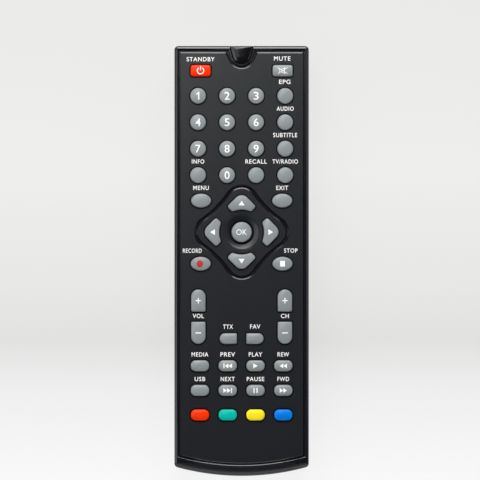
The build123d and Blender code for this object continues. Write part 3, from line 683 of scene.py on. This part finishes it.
def printed(shape, ink, x, y, surface, index):
    """Prints a sign on a surface, cut up to follow it, from just below to just above it."""
    reach = max(max(abs(vertex.co.x), abs(vertex.co.y)) for vertex in ink.verts)
    cuts = int(reach / ink_pitch)
    for number in range(-cuts, cuts + 1):
        for way in (Vector((1, 0, 0)), Vector((0, 1, 0))):
            parts = ink.verts[:] + ink.edges[:] + ink.faces[:]
            place = way * number * ink_pitch
            bmesh.ops.bisect_plane(ink, geom=parts, dist=1e-7, plane_co=place, plane_no=way)
    for vertex in ink.verts:
        place = (vertex.co.x + x, vertex.co.y + y)
        step = ink_lift if vertex.co.z > 0 else -ink_sink
        vertex.co = (*place, surface(*place) + step)
    for face in ink.faces:
        face.material_index = index
    shape.from_mesh(meshed("sign", ink))


def slab(polygons):
    """Flat signs in a bmesh, one unit thick, from anticlockwise outlines in millimetres."""
    shape = bmesh.new()
    for points in polygons:
        low, high = ([shape.verts.new((x * mm, y * mm, end)) for x, y in points] for end in (-0.5, 0.5))
        shape.faces.new(low[::-1])
        shape.faces.new(high)
        skin(shape, (low, high))
    return shape


def turned_corners(corners, x, y, turn):
    """Corner points turned by an angle and moved to a place."""
    c, s = facing(turn)
    return [(x + right * c - high * s, y + right * s + high * c) for right, high in corners]


def pointer(x, y, length, height, turn):
    """A triangle that points to an angle."""
    corners = [(-length / 2, -height / 2), (length / 2, 0), (-length / 2, height / 2)]
    return turned_corners(corners, x, y, turn)


def bar(x, y, width, height, turn=0):
    """A rectangle turned by an angle."""
    corners = [(side * width / 2, end * height / 2) for side, end in ((-1, -1), (1, -1), (1, 1), (-1, 1))]
    return turned_corners(corners, x, y, turn)


def wedges(turn, *shifts):
    """Pointers of one size in a row."""
    return [pointer(shift, 0, wedge, wedge_height, turn) for shift in shifts]


def open_ring(radius, width, start, end, steps):
    """A stretch of a ring from one angle on to another."""
    stations = arc(0, 0, radius, start, end, steps)
    return grown_by(stations, width / 2) + grown_by(stations, -width / 2)[::-1]


def traced(points, width):
    """Bars along the edges of a polygon."""
    bars = []
    for start, end in around(points):
        turn = degrees(atan2(end[1] - start[1], end[0] - start[0]))
        middle = ((start[0] + end[0]) / 2, (start[1] + end[1]) / 2)
        bars.append(bar(*middle, dist(start, end) + width, width, turn))
    return bars


speaker = [(-1.1, -0.5), (-0.4, -0.5), (0.75, -1.05), (0.75, 1.05), (-0.4, 0.5), (-1.1, 0.5)]
hairline, thin, stroke = 0.2, 0.32, 0.38
wedge, wedge_height = 1.35, 1.8
dot, dot_aside = oval_outline(1.15, 1.38), 0.3
signs = {
    "1": [[(0.05, -1.4), (0.5, -1.4), (0.5, 1.4), (0.15, 1.4), (-0.6, 0.8), (-0.6, 0.35), (0.05, 0.7)]],
    "play": [pointer(0, 0, 1.67, wedge_height, 0)],
    "rewind": wedges(180, -wedge / 2, wedge / 2),
    "forward": wedges(0, -wedge / 2, wedge / 2),
    "previous": [*wedges(180, -0.4, 0.95), bar(-1.4, 0, stroke, wedge_height)],
    "next": [*wedges(0, -0.95, 0.4), bar(1.4, 0, stroke, wedge_height)],
    "pause": [bar(side * 0.56, 0, 0.42, 1.9) for side in (-1, 1)],
    "stop": [bar(0, 0, 1.8, 2.1)],
    "record": [grown_by(turned_by(dot, (-dot_aside, 0), 0), 0)],
    "volume_up": [bar(0, 0, 2.0, stroke)] + [bar(0, side * 0.62, stroke, 0.78) for side in (-1, 1)],
    "volume_down": [bar(0, 0, 2.1, 0.42)],
    "standby": [open_ring(1.2, thin, 125, 415, 28), bar(0, 0.85, thin, 1.5)],
    "mute": [bar(0, 0, 4.2, hairline, turn) for turn in (-31, 31)] + traced(speaker, hairline),
}
signs["channel_up"] = signs["volume_up"]
signs["channel_down"] = signs["volume_down"]
signs |= {name: [pointer(0, 0, 1.75, 2.2, turn + 90)] for name, turn in arrow_turns.items()}
arrow_place = 10.8 * mm
digit_height = 2.9 * mm
digit_width = 1.9 * mm
digit_weight = 0.008

# Screen-printed ink, white on the caps and red for the record dot.
white_ink = moulded("white_ink", "#f4f4f2", "#eeeeec", 0.5, 0.3 * mm, 0.003 * mm)
red_ink = moulded("red_ink", "#b3141b", "#aa1219", 0.5, 0.3 * mm, 0.003 * mm)
# Carbon-loaded silicone pill: dull black.
carbon_pill = moulded("carbon_silicone", "#17171a", "#1c1c1f", 0.7, 0.2 * mm, 0.004 * mm)
# The key's foot, flange and sides are near-black silicone as painted shade: it darkens the gap round each
# cap.
skirt_painted_shade = moulded("silicone_painted_shade", "#18191a", "#1c1d1e", 0.6, 0.5 * mm, 0.008 * mm)
# Matt coated silicone: an even eggshell sheen with a barely visible grain.
cap_gloss, cap_grain, cap_relief = 0.3, 0.35 * mm, 0.014 * mm
silicones = {}
for slot, colour, tone, level in (
    ("key_silicone", "#858b8d", "#7f8587", 0.6),
    ("key_silicone_red", "#f03200", "#ea2e00", 0.22),
    ("key_silicone_green", "#00b3a2", "#00ad9c", 0.22),
    ("key_silicone_yellow", "#f4dd24", "#efd720", 0.22),
    ("key_silicone_blue", "#0076d7", "#0071cf", 0.22),
):
    sheen = {"IOR": 1.41, "Specular IOR Level": level}
    name = slot.removeprefix("key_")
    silicones[slot] = moulded(name, colour, tone, cap_gloss, cap_grain, cap_relief, sheen)
ink, red_dot = 2, 3
for name, slot in key_slots.items():
    shape = key_shape(name)
    place = key_middle(name)
    sign = None
    if name in signs:
        sign = slab(signs[name])
    elif name.isdigit():
        sign = lettering(name, digit_width, digit_height, digit_weight)
    elif name == "ok":
        sign = lettering("OK", 4.0 * mm, 2.07 * mm, 0)
    if name in arrow_turns:
        place = from_pad(name, arrow_place)
    if sign:
        printed(shape, sign, *place, crown_of(name), red_dot if name == "record" else ink)
    finishes = [carbon_pill, silicones[slot], white_ink, red_ink, skirt_painted_shade]
    piece("cap_" + name, shape, finishes, ["key_" + name], "key_" + name, 50)


# Front case
# The upper half of the housing in the same ABS: a flat face with a hole for every key, a diamond groove
# and a dish for the pointing pad, and posts on its back. A groove parts the face from the rounded rim.
# The grooves, the key holes and the rim, but not its battery end, are from polished parts of the mould.
polished_abs = moulded("black_abs_polished", "#0e0f14", "#111318", 0.2, 0.4 * mm, 0.003 * mm, {"IOR": 1.5})
grained, polished = 0, 1
half_width, half_length, face_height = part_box("front_case")[1]
wall = 1.8 * mm
face_inside = face_height - wall
parting = 10.5 * mm
fit_gap = 0.1 * mm
end_arc = 92.0 * mm
end_arc_y = end_arc - half_length
infrared_corner = 1.5 * mm
battery_corner = 1.7 * mm
least_corner = 0.4 * mm


def case_outline(side, top, end, notch=None):
    """The case from above, drawn in at its sides, its infrared end and its battery end."""
    right = half_width - side
    high = half_length - top
    radius = end_arc - end
    near = max(infrared_corner - max(side, top), least_corner)
    far = max(battery_corner - max(side, end), least_corner)
    foot_x = right - far
    foot_y = end_arc_y - sqrt((radius - far) ** 2 - foot_x**2)
    lean = 360 + degrees(atan2(foot_y - end_arc_y, -foot_x))
    parts = [arc(right - near, high - near, near, 0, 90, 8)]
    if notch:
        parts += notch_arcs(*notch, high)
    parts += [
        arc(near - right, high - near, near, 90, 180, 8),
        arc(-foot_x, foot_y, far, 180, lean, 7),
        arc(0, end_arc_y, radius, lean, 540 - lean, 40),
        arc(foot_x, foot_y, far, 540 - lean, 360, 7),
    ]
    return grown_by(chained(parts, 4), 0)


window_round = 3.3 * mm
window_y = half_length - 3.5 * mm
window_tilt = 15.0
window_land = 0.45 * mm
window_corner = 0.25 * mm


def leaning(radius, tilt):
    """Where the window's straight side leaves its round end, and its lean as sine and cosine."""
    c, s = facing(tilt)
    return radius * c, window_y - radius * s, s, c


def notch_arcs(radius, tilt, high):
    """The arcs that lead an outline from its top round under the window and up again."""
    start_x, start_y, s, c = leaning(radius, tilt)
    corner_y = high - least_corner
    corner_x = start_x + (least_corner + (corner_y - start_y) * s) / c
    return [
        arc(corner_x, corner_y, least_corner, 90, 180 - tilt, 6),
        arc(0, window_y, radius, -tilt, tilt - 180, 24, hollow=True),
        arc(-corner_x, corner_y, least_corner, tilt, 90, 6),
    ]


def window_outline(end_y):
    """The outline of the window, closed by a straight edge at end_y."""
    start_x, start_y, s, c = leaning(window_round, window_tilt)
    corner_y = end_y - window_corner
    corner_x = start_x + ((corner_y - start_y) * s - window_corner) / c
    parts = [
        arc(corner_x, corner_y, window_corner, -window_tilt, 90, 6),
        arc(-corner_x, corner_y, window_corner, 90, 180 + window_tilt, 6),
        arc(0, window_y, window_round, 180 + window_tilt, 360 - window_tilt, 30),
    ]
    return chained(parts, 5)


def diamond_outline():
    """The diamond round the pointing pad: four round tips joined by hollow sides."""
    tip, place, side = 5.0 * mm, 11.2 * mm, 12.2 * mm
    lean = sqrt(2) * place
    hollow = (tip**2 - side**2 + lean * side - place**2) / (2 * side - lean - 2 * tip)
    centre = (side + hollow) * sqrt(0.5)
    touch = degrees(atan2(centre - place, centre))
    parts = []
    for quarter in range(4):
        for part in (
            arc(0, place, tip, touch, 180 - touch, 12),
            arc(-centre, centre, hollow, -touch, touch - 90, 14, hollow=True),
        ):
            parts.append(turned_by(part, pad_middle, 90 * quarter))
    return chained(parts, 0)


slope_width = 3.4 * mm
slope_drop = 1.2 * mm
slope_radius = (slope_width**2 + slope_drop**2) / (2 * slope_drop)
slope_edge = 0.9 * mm
slope_edge_drop = 0.6 * mm


def face_over(x, y):
    """The height of the face over a point: it rolls down towards the battery end."""
    reach = hypot(x, y - end_arc_y) - end_arc + slope_width
    if y > 0 or reach < 0:
        return face_height
    drop = slope_radius - sqrt(slope_radius**2 - min(reach, slope_width) ** 2)
    edge = max(0, reach - slope_width + slope_edge) / slope_edge
    return face_height - drop - slope_edge_drop * edge**2


def filled(shape, *rings):
    """Fills the flat stretch between rings at one height. The tool for it wants large sizes."""
    pairs = [pair for points in rings for pair in around(points)]
    edges = [shape.edges.get(pair) or shape.edges.new(pair) for pair in pairs]
    bmesh.ops.scale(shape, vec=Vector((1, 1, 1)) / mm, verts=shape.verts)
    bmesh.ops.triangle_fill(shape, use_beauty=True, edges=edges, normal=(0, 0, 1))
    bmesh.ops.scale(shape, vec=Vector((1, 1, 1)) * mm, verts=shape.verts)


# The groove's section as shares of its width and depth: where it runs along the case its edges are
# tight, where it runs across they are rounded broadly.
groove_along = ((0, 0), (0.03, 0.06), (0.07, 0.2), (0.12, 0.9), (0.2, 1), (0.3, 1), (0.5, 1))
groove_along += ((0.7, 1), (0.8, 1), (0.86, 0.9), (0.92, 0.2), (0.96, 0.05), (1, 0))
groove_across = ((0, 0), (0.015, 0.01), (0.13, 0.11), (0.2, 0.2), (0.26, 0.5), (0.32, 0.95), (0.5, 1))
groove_across += ((0.7, 0.97), (0.76, 0.5), (0.8, 0.2), (0.89, 0.1), (0.985, 0.01), (1, 0))
across_weight = 1.7


def grooved(shape, outer, inner, depth):
    """A groove in the face between two outlines: returns its outer and its inner ring."""
    rings = []
    for tight, broad in zip(groove_along, groove_across):
        rings.append([])
        for (x, y), (u, v) in zip(outer, inner):
            across = min(1, across_weight * abs(v - y) / (abs(u - x) + abs(v - y)))
            share, drop = (a + (b - a) * across for a, b in zip(tight, broad))
            place = (x + (u - x) * share, y + (v - y) * share, face_height - drop * depth)
            rings[-1].append(shape.verts.new(place))
    skin(shape, rings, polished)
    return rings[0], rings[-1]


hole_edge = ((0.42, 0.0), (0.4, 0.02), (0.3, 0.35))


def key_hole(shape, name):
    """The hole for a key, its edge just broken: returns its rings on the face and behind it."""
    stations = key_outline(name)
    if name == "ok":
        return dish(shape, stations)
    levels = [(grow * mm, face_height - drop * mm) for grow, drop in hole_edge]
    levels.append((levels[-1][0], face_inside))
    rings = [ring(shape, grown_by(stations, grow), height) for grow, height in levels]
    skin(shape, rings, polished)
    return rings[0], rings[-1]


dish_section = ((0, 0), (0.12, 0.115), (0.24, 0.22), (0.36, 0.31), (0.48, 0.385))
dish_section += ((0.6, 0.445), (0.7, 0.49), (0.78, 0.57), (0.88, 0.76), (1, 1))


def dish(shape, stations):
    """The hollow round the middle key: a shallow bowl that falls away at its hole."""
    key_radius = stations[0][0] - pad_middle[0]
    inner = key_radius + hole_edge[-1][0] * mm
    outer, depth = 6.4 * mm, 1.0 * mm
    levels = [(outer + (inner - outer) * share, face_height - drop * depth) for share, drop in dish_section]
    levels.append((inner, face_inside))
    rings = [ring(shape, grown_by(stations, radius - key_radius), height) for radius, height in levels]
    skin(shape, rings)
    return rings[0], rings[-1]


rim_section = ((0, 0.8), (0.03, 0.62), (0.1, 0.44), (0.2, 0.34))
rim_section += ((0.35, 0.25), (0.55, 0.15), (0.75, 0.065), (0.93, 0))
land_insets = (1.0 * mm, 0.94 * mm, 3.7 * mm)
land_steps = 6


def rim_levels():
    """The shell's rings from the ceiling inside, down over the lip, up the side, over the rim."""
    step, lip = 0.9 * mm, 0.15 * mm
    step_top = parting + 1.3 * mm
    levels = [(wall, face_inside), (wall, step_top), (step, step_top), (step, parting), (lip, parting)]
    levels += [(0, parting + lip)]
    levels += [(inset * mm, face_height - drop * mm) for inset, drop in rim_section]
    insets = [((inset, inset, inset), height) for inset, height in levels]
    rim = levels[-1][0]
    for number in range(1, land_steps + 1):
        share = number / land_steps
        insets.append((tuple(rim + (edge - rim) * share for edge in land_insets), face_height))
    return insets


front = bmesh.new()
shell_rings = []
for inset, height in rim_levels():
    shell_rings.append(ring(front, case_outline(*inset), lambda x, y: min(height, face_over(x, y))))
skin(front, shell_rings, polished)
grained_end = slope_width + 1.5 * mm
for face in front.faces:
    if face.calc_center_median().y < grained_end - half_length:
        face.material_index = grained
groove_tilt, groove_depth = 27.0, 0.6 * mm
notch_outer = window_round + window_land
notch_inner = notch_outer + 1.35 * mm
groove_outer = case_outline(1.08 * mm, 1.0 * mm, 3.8 * mm, (notch_outer, window_tilt))
groove_inner = case_outline(2.25 * mm, 2.75 * mm, 5.0 * mm, (notch_inner, groove_tilt))
rim_edge, panel_edge = grooved(front, groove_outer, groove_inner, groove_depth)
diamond = diamond_outline()
diamond_groove, diamond_depth = 1.5 * mm, 0.65 * mm
diamond_edge, pad_edge = grooved(
    front, grown_by(diamond, diamond_groove), grown_by(diamond, 0), diamond_depth
)
holes = {name: key_hole(front, name) for name in key_slots}
pad_holes = [holes[name][0] for name in (*arrow_turns, "ok")]
panel_holes = [holes[name][0] for name in key_slots if name not in arrow_turns and name != "ok"]
filled(front, shell_rings[-1], rim_edge)
filled(front, panel_edge, diamond_edge, *panel_holes)
filled(front, pad_edge, *pad_holes)
filled(front, shell_rings[0], *[hole[1] for hole in holes.values()])

# The window's slot is cut out of the finished shell, a little flared at the face.
slot = bmesh.new()
slot_flare = 0.24 * mm
slot_outline = window_outline(half_length + 2 * mm)
slot_levels = [(0, parting - mm), (0, face_height - slot_flare)]
slot_levels += [(slot_flare, face_height), (slot_flare, face_height + mm)]
slot_rings = [ring(slot, grown_by(slot_outline, fit_gap + flare), height) for flare, height in slot_levels]
skin(slot, slot_rings)
slot.faces.new(slot_rings[0][::-1])
slot.faces.new(slot_rings[-1])
outward(front)
outward(slot)
front_finishes = [black_abs, polished_abs]
uncut, cutter = (placed("carved", meshed("carved", part, front_finishes)) for part in (front, slot))
cut = uncut.modifiers.new("cut", "BOOLEAN")
cut.operation, cut.solver, cut.object = "DIFFERENCE", "EXACT", cutter
front = settled(uncut)
bpy.data.objects.remove(cutter)


def between(*names):
    """The middle of several keys."""
    places = [key_middle(name) for name in names]
    return tuple(sum(values) / len(places) for values in zip(*places))


post_radius = 1.2 * mm
pin_radius = 0.7 * mm
post_end = 15.65 * mm
pin_end = 14.25 * mm
sunk = 0.05 * mm
post_x, post_y = between("3", "guide", "6", "audio")
menu_post_drop = 3.85 * mm
post_places = [
    (post_x, post_y),
    (post_x, key_middle("menu")[1] - menu_post_drop),
    (post_x, between("channel_up", "channel_down")[1]),
    between("play", "rewind", "pause", "forward"),
]
post_profile = [(0, pin_end), (pin_radius, pin_end), (pin_radius, post_end), (post_radius, post_end)]
post_profile += [(post_radius, face_inside + sunk), (0, face_inside + sunk)]
screw_post = 2.3 * mm
screw_bore = 1.075 * mm
screw_foot = parting + fit_gap
bore_end = 14.0 * mm
screw_place = (15.0 * mm, 14.0 * mm - half_length)
screw_profile = [(0, bore_end), (screw_bore, bore_end), (screw_bore, screw_foot), (screw_post, screw_foot)]
screw_profile += [(screw_post, face_inside + sunk), (0, face_inside + sunk)]
for places, profile, steps in ((post_places, post_profile, 32), ([screw_place], screw_profile, 40)):
    for side in (-1, 1):
        for x, y in places:
            turned(front, profile, Vector((side * x, y, 0)), up, Vector((1, 0, 0)), steps=steps)
hook_x = 14.0 * mm
hook_half = 2.5 * mm
wall_y = half_length - wall
hook_low = parting - 2.0 * mm
hook_root = parting + 1.4 * mm
hook_profile = [
    (-1.2 * mm, hook_low),
    (0.5 * mm, hook_low),
    (0.5 * mm, hook_low + mm),
    (-fit_gap, hook_low + mm),
    (-fit_gap, hook_root),
    (sunk, hook_root),
    (sunk, face_inside + sunk),
    (-1.2 * mm, face_inside + sunk),
]
for x in (-hook_x, hook_x):
    left, right = (
        [front.verts.new((x + side * hook_half, wall_y + y, z)) for y, z in hook_profile]
        for side in (-1, 1)
    )
    front.faces.new(left)
    front.faces.new(right[::-1])
    skin(front, (left, right))
outward(front)
front_shell = piece("front_shell", front, front_finishes, ["front_case"], "root")
front_shell.modifiers.new("even_shading", "WEIGHTED_NORMAL").keep_sharp = True


# Infrared window
# A plug of smoked acrylic that lets the lamp's light through: polished and domed, its end edge rounded,
# with a flange behind the end wall and a bore for the lamp.
lens_floor = face_inside + fit_gap
lens_edge = face_height - 0.6 * mm
lens_crown = 0.6 * mm
lens_fall = 3
lens_edge_round = 0.1 * mm
lens_end_round = 0.7 * mm
lens_middle = (0, window_y + 0.4 * mm)


def lens_height(x, y):
    """The height of the lens: domed across the notch, rounded over at the case's end."""
    foot_x, foot_y, s, c = leaning(window_round, window_tilt)
    if y > foot_y:
        share = abs(x) / (foot_x + (y - foot_y) * s / c)
    else:
        share = hypot(x, y - window_y) / window_round
    height = lens_edge + lens_crown * (1 - min(1, share) ** lens_fall)
    run = y - (half_length - lens_end_round)
    if run <= 0:
        return height
    roll = sqrt(max(0, lens_end_round**2 - run**2))
    return min(height, face_height - fit_gap - lens_end_round + roll)


lens = joined("infrared_window")
cut_height = lens_floor + fit_gap
everything = lens.verts[:] + lens.edges[:] + lens.faces[:]
bmesh.ops.bisect_plane(
    lens, geom=everything, dist=1e-8, plane_co=(0, 0, cut_height), plane_no=(0, 0, 1), clear_outer=True
)
bmesh.ops.triangle_fill(lens, use_beauty=True, edges=[edge for edge in lens.edges if edge.is_boundary])
lens_outline = window_outline(half_length)
lens_rings = [ring(lens, grown_by(lens_outline, 0), lens_floor)]
for grow, drop in ((0, lens_edge_round), (-lens_edge_round, 0)):
    lens_rings.append(ring(lens, grown_by(lens_outline, grow), lens_height, drop))
lens_top = grown_by(lens_outline, -lens_edge_round)
for share in (0.97, 0.93, 0.88, 0.82, 0.75, 0.66, 0.56, 0.45, 0.33, 0.2):
    lens_rings.append(ring(lens, shrunk(lens_top, lens_middle, share), lens_height))
skin(lens, lens_rings)
lens.faces.new(lens_rings[0][::-1])
closed_in(lens, lens_rings[-1], *lens_middle, lens_height(*lens_middle))
outward(lens)
# Smoked acrylic: almost black, polished, with the faint waviness of a moulding.
smoked_acrylic = moulded("smoked_acrylic", "#0a0a0d", "#0d0d11", 0.16, 6.0 * mm, 0.004 * mm, {"IOR": 1.49})
piece("window_lens", lens, [smoked_acrylic], ["infrared_window"], "root")


# Legends
# The words over the keys, screen-printed on the flat of the face in the same white ink as the signs on
# the keys.
legends = (
    ("STANDBY", "standby", 10.4),
    ("MUTE", "mute", 6.1, -0.15, 0.25),
    ("EPG", "guide", 4.25, -0.15, 0.15),
    ("AUDIO", "audio", 6.35),
    ("SUBTITLE", "subtitle", 8.95),
    ("INFO", "info", 4.6),
    ("RECALL", "recall", 7.95),
    ("TV/RADIO", "tv_radio", 9.55),
    ("MENU", "menu", 5.8),
    ("EXIT", "exit", 4.4),
    ("RECORD", "record", 7.0, -3.15, 0.1),
    ("STOP", "stop", 5.0, 3.1, 0.15),
    ("VOL", "volume_down", 4.1),
    ("CH", "channel_down", 2.95),
    ("TTX", "text", 3.7, -0.1, 0.25),
    ("FAV", "favourite", 3.8, 0.1, 0.3),
    ("MEDIA", "media", 6.25),
    ("PREV", "previous", 5.4),
    ("PLAY", "play", 5.0),
    ("REW", "rewind", 4.3),
    ("USB", "usb", 3.95),
    ("NEXT", "next", 5.2),
    ("PAUSE", "pause", 6.5),
    ("FWD", "forward", 4.35),
)
legend_height = 1.6 * mm
legend_rise = 2.15 * mm
legend_weight = 0.01
legend_spacing = 1.14
words = bmesh.new()
for text, key, width, *shift in legends:
    aside, higher = shift or (0, 0)
    x = key_middle(key)[0] + aside * mm
    y = key_boxes[key][1].y - key_flange + legend_rise + higher * mm
    sign = lettering(text, width * mm, legend_height, legend_weight, legend_spacing)
    printed(words, sign, x, y, lambda x, y: face_height, 0)
piece("face_legends", words, [white_ink], [], "root", 50)


# Housing screws
# Two pan-head screws driven up from the battery well into the posts of the front case, zinc plated, each
# with a plain slot.
# Zinc plate on steel: cool grey with a soft gloss.
zinc_plate = metal("zinc_plate", "#a9adb0", "#979b9f", 0.32, 0.3 * mm, 0.003 * mm)
dressed("screw_pair", "case_screws", zinc_plate)


# Studio
# A plain pale sweep under a large soft light from beyond the infrared end, as the photograph has, with
# four weaker lights.
paper_glow = 0.92
paper_foot, paper_head = -82 * mm, 98 * mm


def paper():
    """Matt studio paper whose grey drifts along the sweep as painted light and shade."""
    material, tree, place = new_material("studio_paper")
    along = add(tree, "ShaderNodeSeparateXYZ", {0: place}).outputs["Y"]
    limits = {"Value": along, "From Min": paper_foot, "From Max": paper_head}
    share = add(tree, "ShaderNodeMapRange", limits).outputs["Result"]
    # The ramp paints light and shade along the sweep, palest at the battery end.
    painted_light_ramp = add(tree, "ShaderNodeValToRGB", {"Fac": share})
    stops = painted_light_ramp.color_ramp.elements
    stops[0].color, stops[1].color = linear("#f8f8f8"), linear("#e6e6e5")
    for position, colour in ((0.18, "#ededed"), (0.29, "#dededd"), (0.4, "#e4e4e3"), (0.64, "#ebebea")):
        stops.new(position).color = linear(colour)
    rays = add(tree, "ShaderNodeLightPath").outputs
    glow = rays["Is Camera Ray"]
    for ray in ("Is Glossy Ray", "Is Transmission Ray"):
        glow = add(tree, "ShaderNodeMath", {0: glow, 1: rays[ray]}, operation="MAXIMUM").outputs[0]
    glow = add(tree, "ShaderNodeMath", {0: glow, 1: paper_glow}, operation="MULTIPLY").outputs[0]
    inputs = {"Base Color": linear("#434343"), "Roughness": 0.9}
    surfaced(tree, {**inputs, "Emission Color": painted_light_ramp.outputs["Color"], "Emission Strength": glow})
    return material


floor_half = 1.5
floor_drop = 0.02 * mm
floor = bmesh.new()
under = Matrix.Translation((0, 0, -floor_drop))
bmesh.ops.create_grid(floor, x_segments=1, y_segments=1, size=floor_half, matrix=under)
sweep = placed("floor", meshed("floor", floor, [paper()]))

world = bpy.data.worlds.new("studio")
bpy.context.scene.world = world
world.use_nodes = True
world.node_tree.nodes.clear()
sky = add(world.node_tree, "ShaderNodeBackground", {"Color": linear("#ffffff"), "Strength": 0.04})
add(world.node_tree, "ShaderNodeOutputWorld", {"Surface": sky.outputs["Background"]})


def lamp_at(name, place, aim, width, height, power):
    """A soft rectangular light at a place, turned to its aim."""
    light = bpy.data.lights.new(name, "AREA")
    light.shape = "RECTANGLE"
    light.size, light.size_y, light.energy = width, height, power
    made = placed(name, light)
    made.location = place
    made.rotation_euler = (Vector(aim) - Vector(place)).to_track_quat("-Z", "Y").to_euler()


lamp_at("key_light", (0, 0.84, 0.744), (0, 0, 0), 1.08, 0.43, 14.9)
lamp_at("left_light", (-0.42, 0.0, 0.5), (0, 0, 0), 0.4, 0.4, 1.05)
lamp_at("right_light", (0.6, -0.05, 0.4), (0, 0, 0), 0.5, 0.4, 0.65)
lamp_at("front_light", (0, -0.48, 0.23), (0, -0.07, 0), 0.4, 0.2, 0.6)
lamp_at("sheen_light", (-0.08, 0.2, 0.5), (0, 0.07, 0), 0.2, 0.14, 0.58)

camera = bpy.data.cameras.new("camera")
view_height = 178.34 * mm
distance = 1.5
camera.lens = camera.sensor_width * distance / view_height
eye = placed("camera", camera)
eye.location = (-0.6 * mm, 7.82 * mm, distance + cad_high.z)
bpy.context.scene.camera = eye
bpy.context.scene.view_settings.view_transform = "Standard"
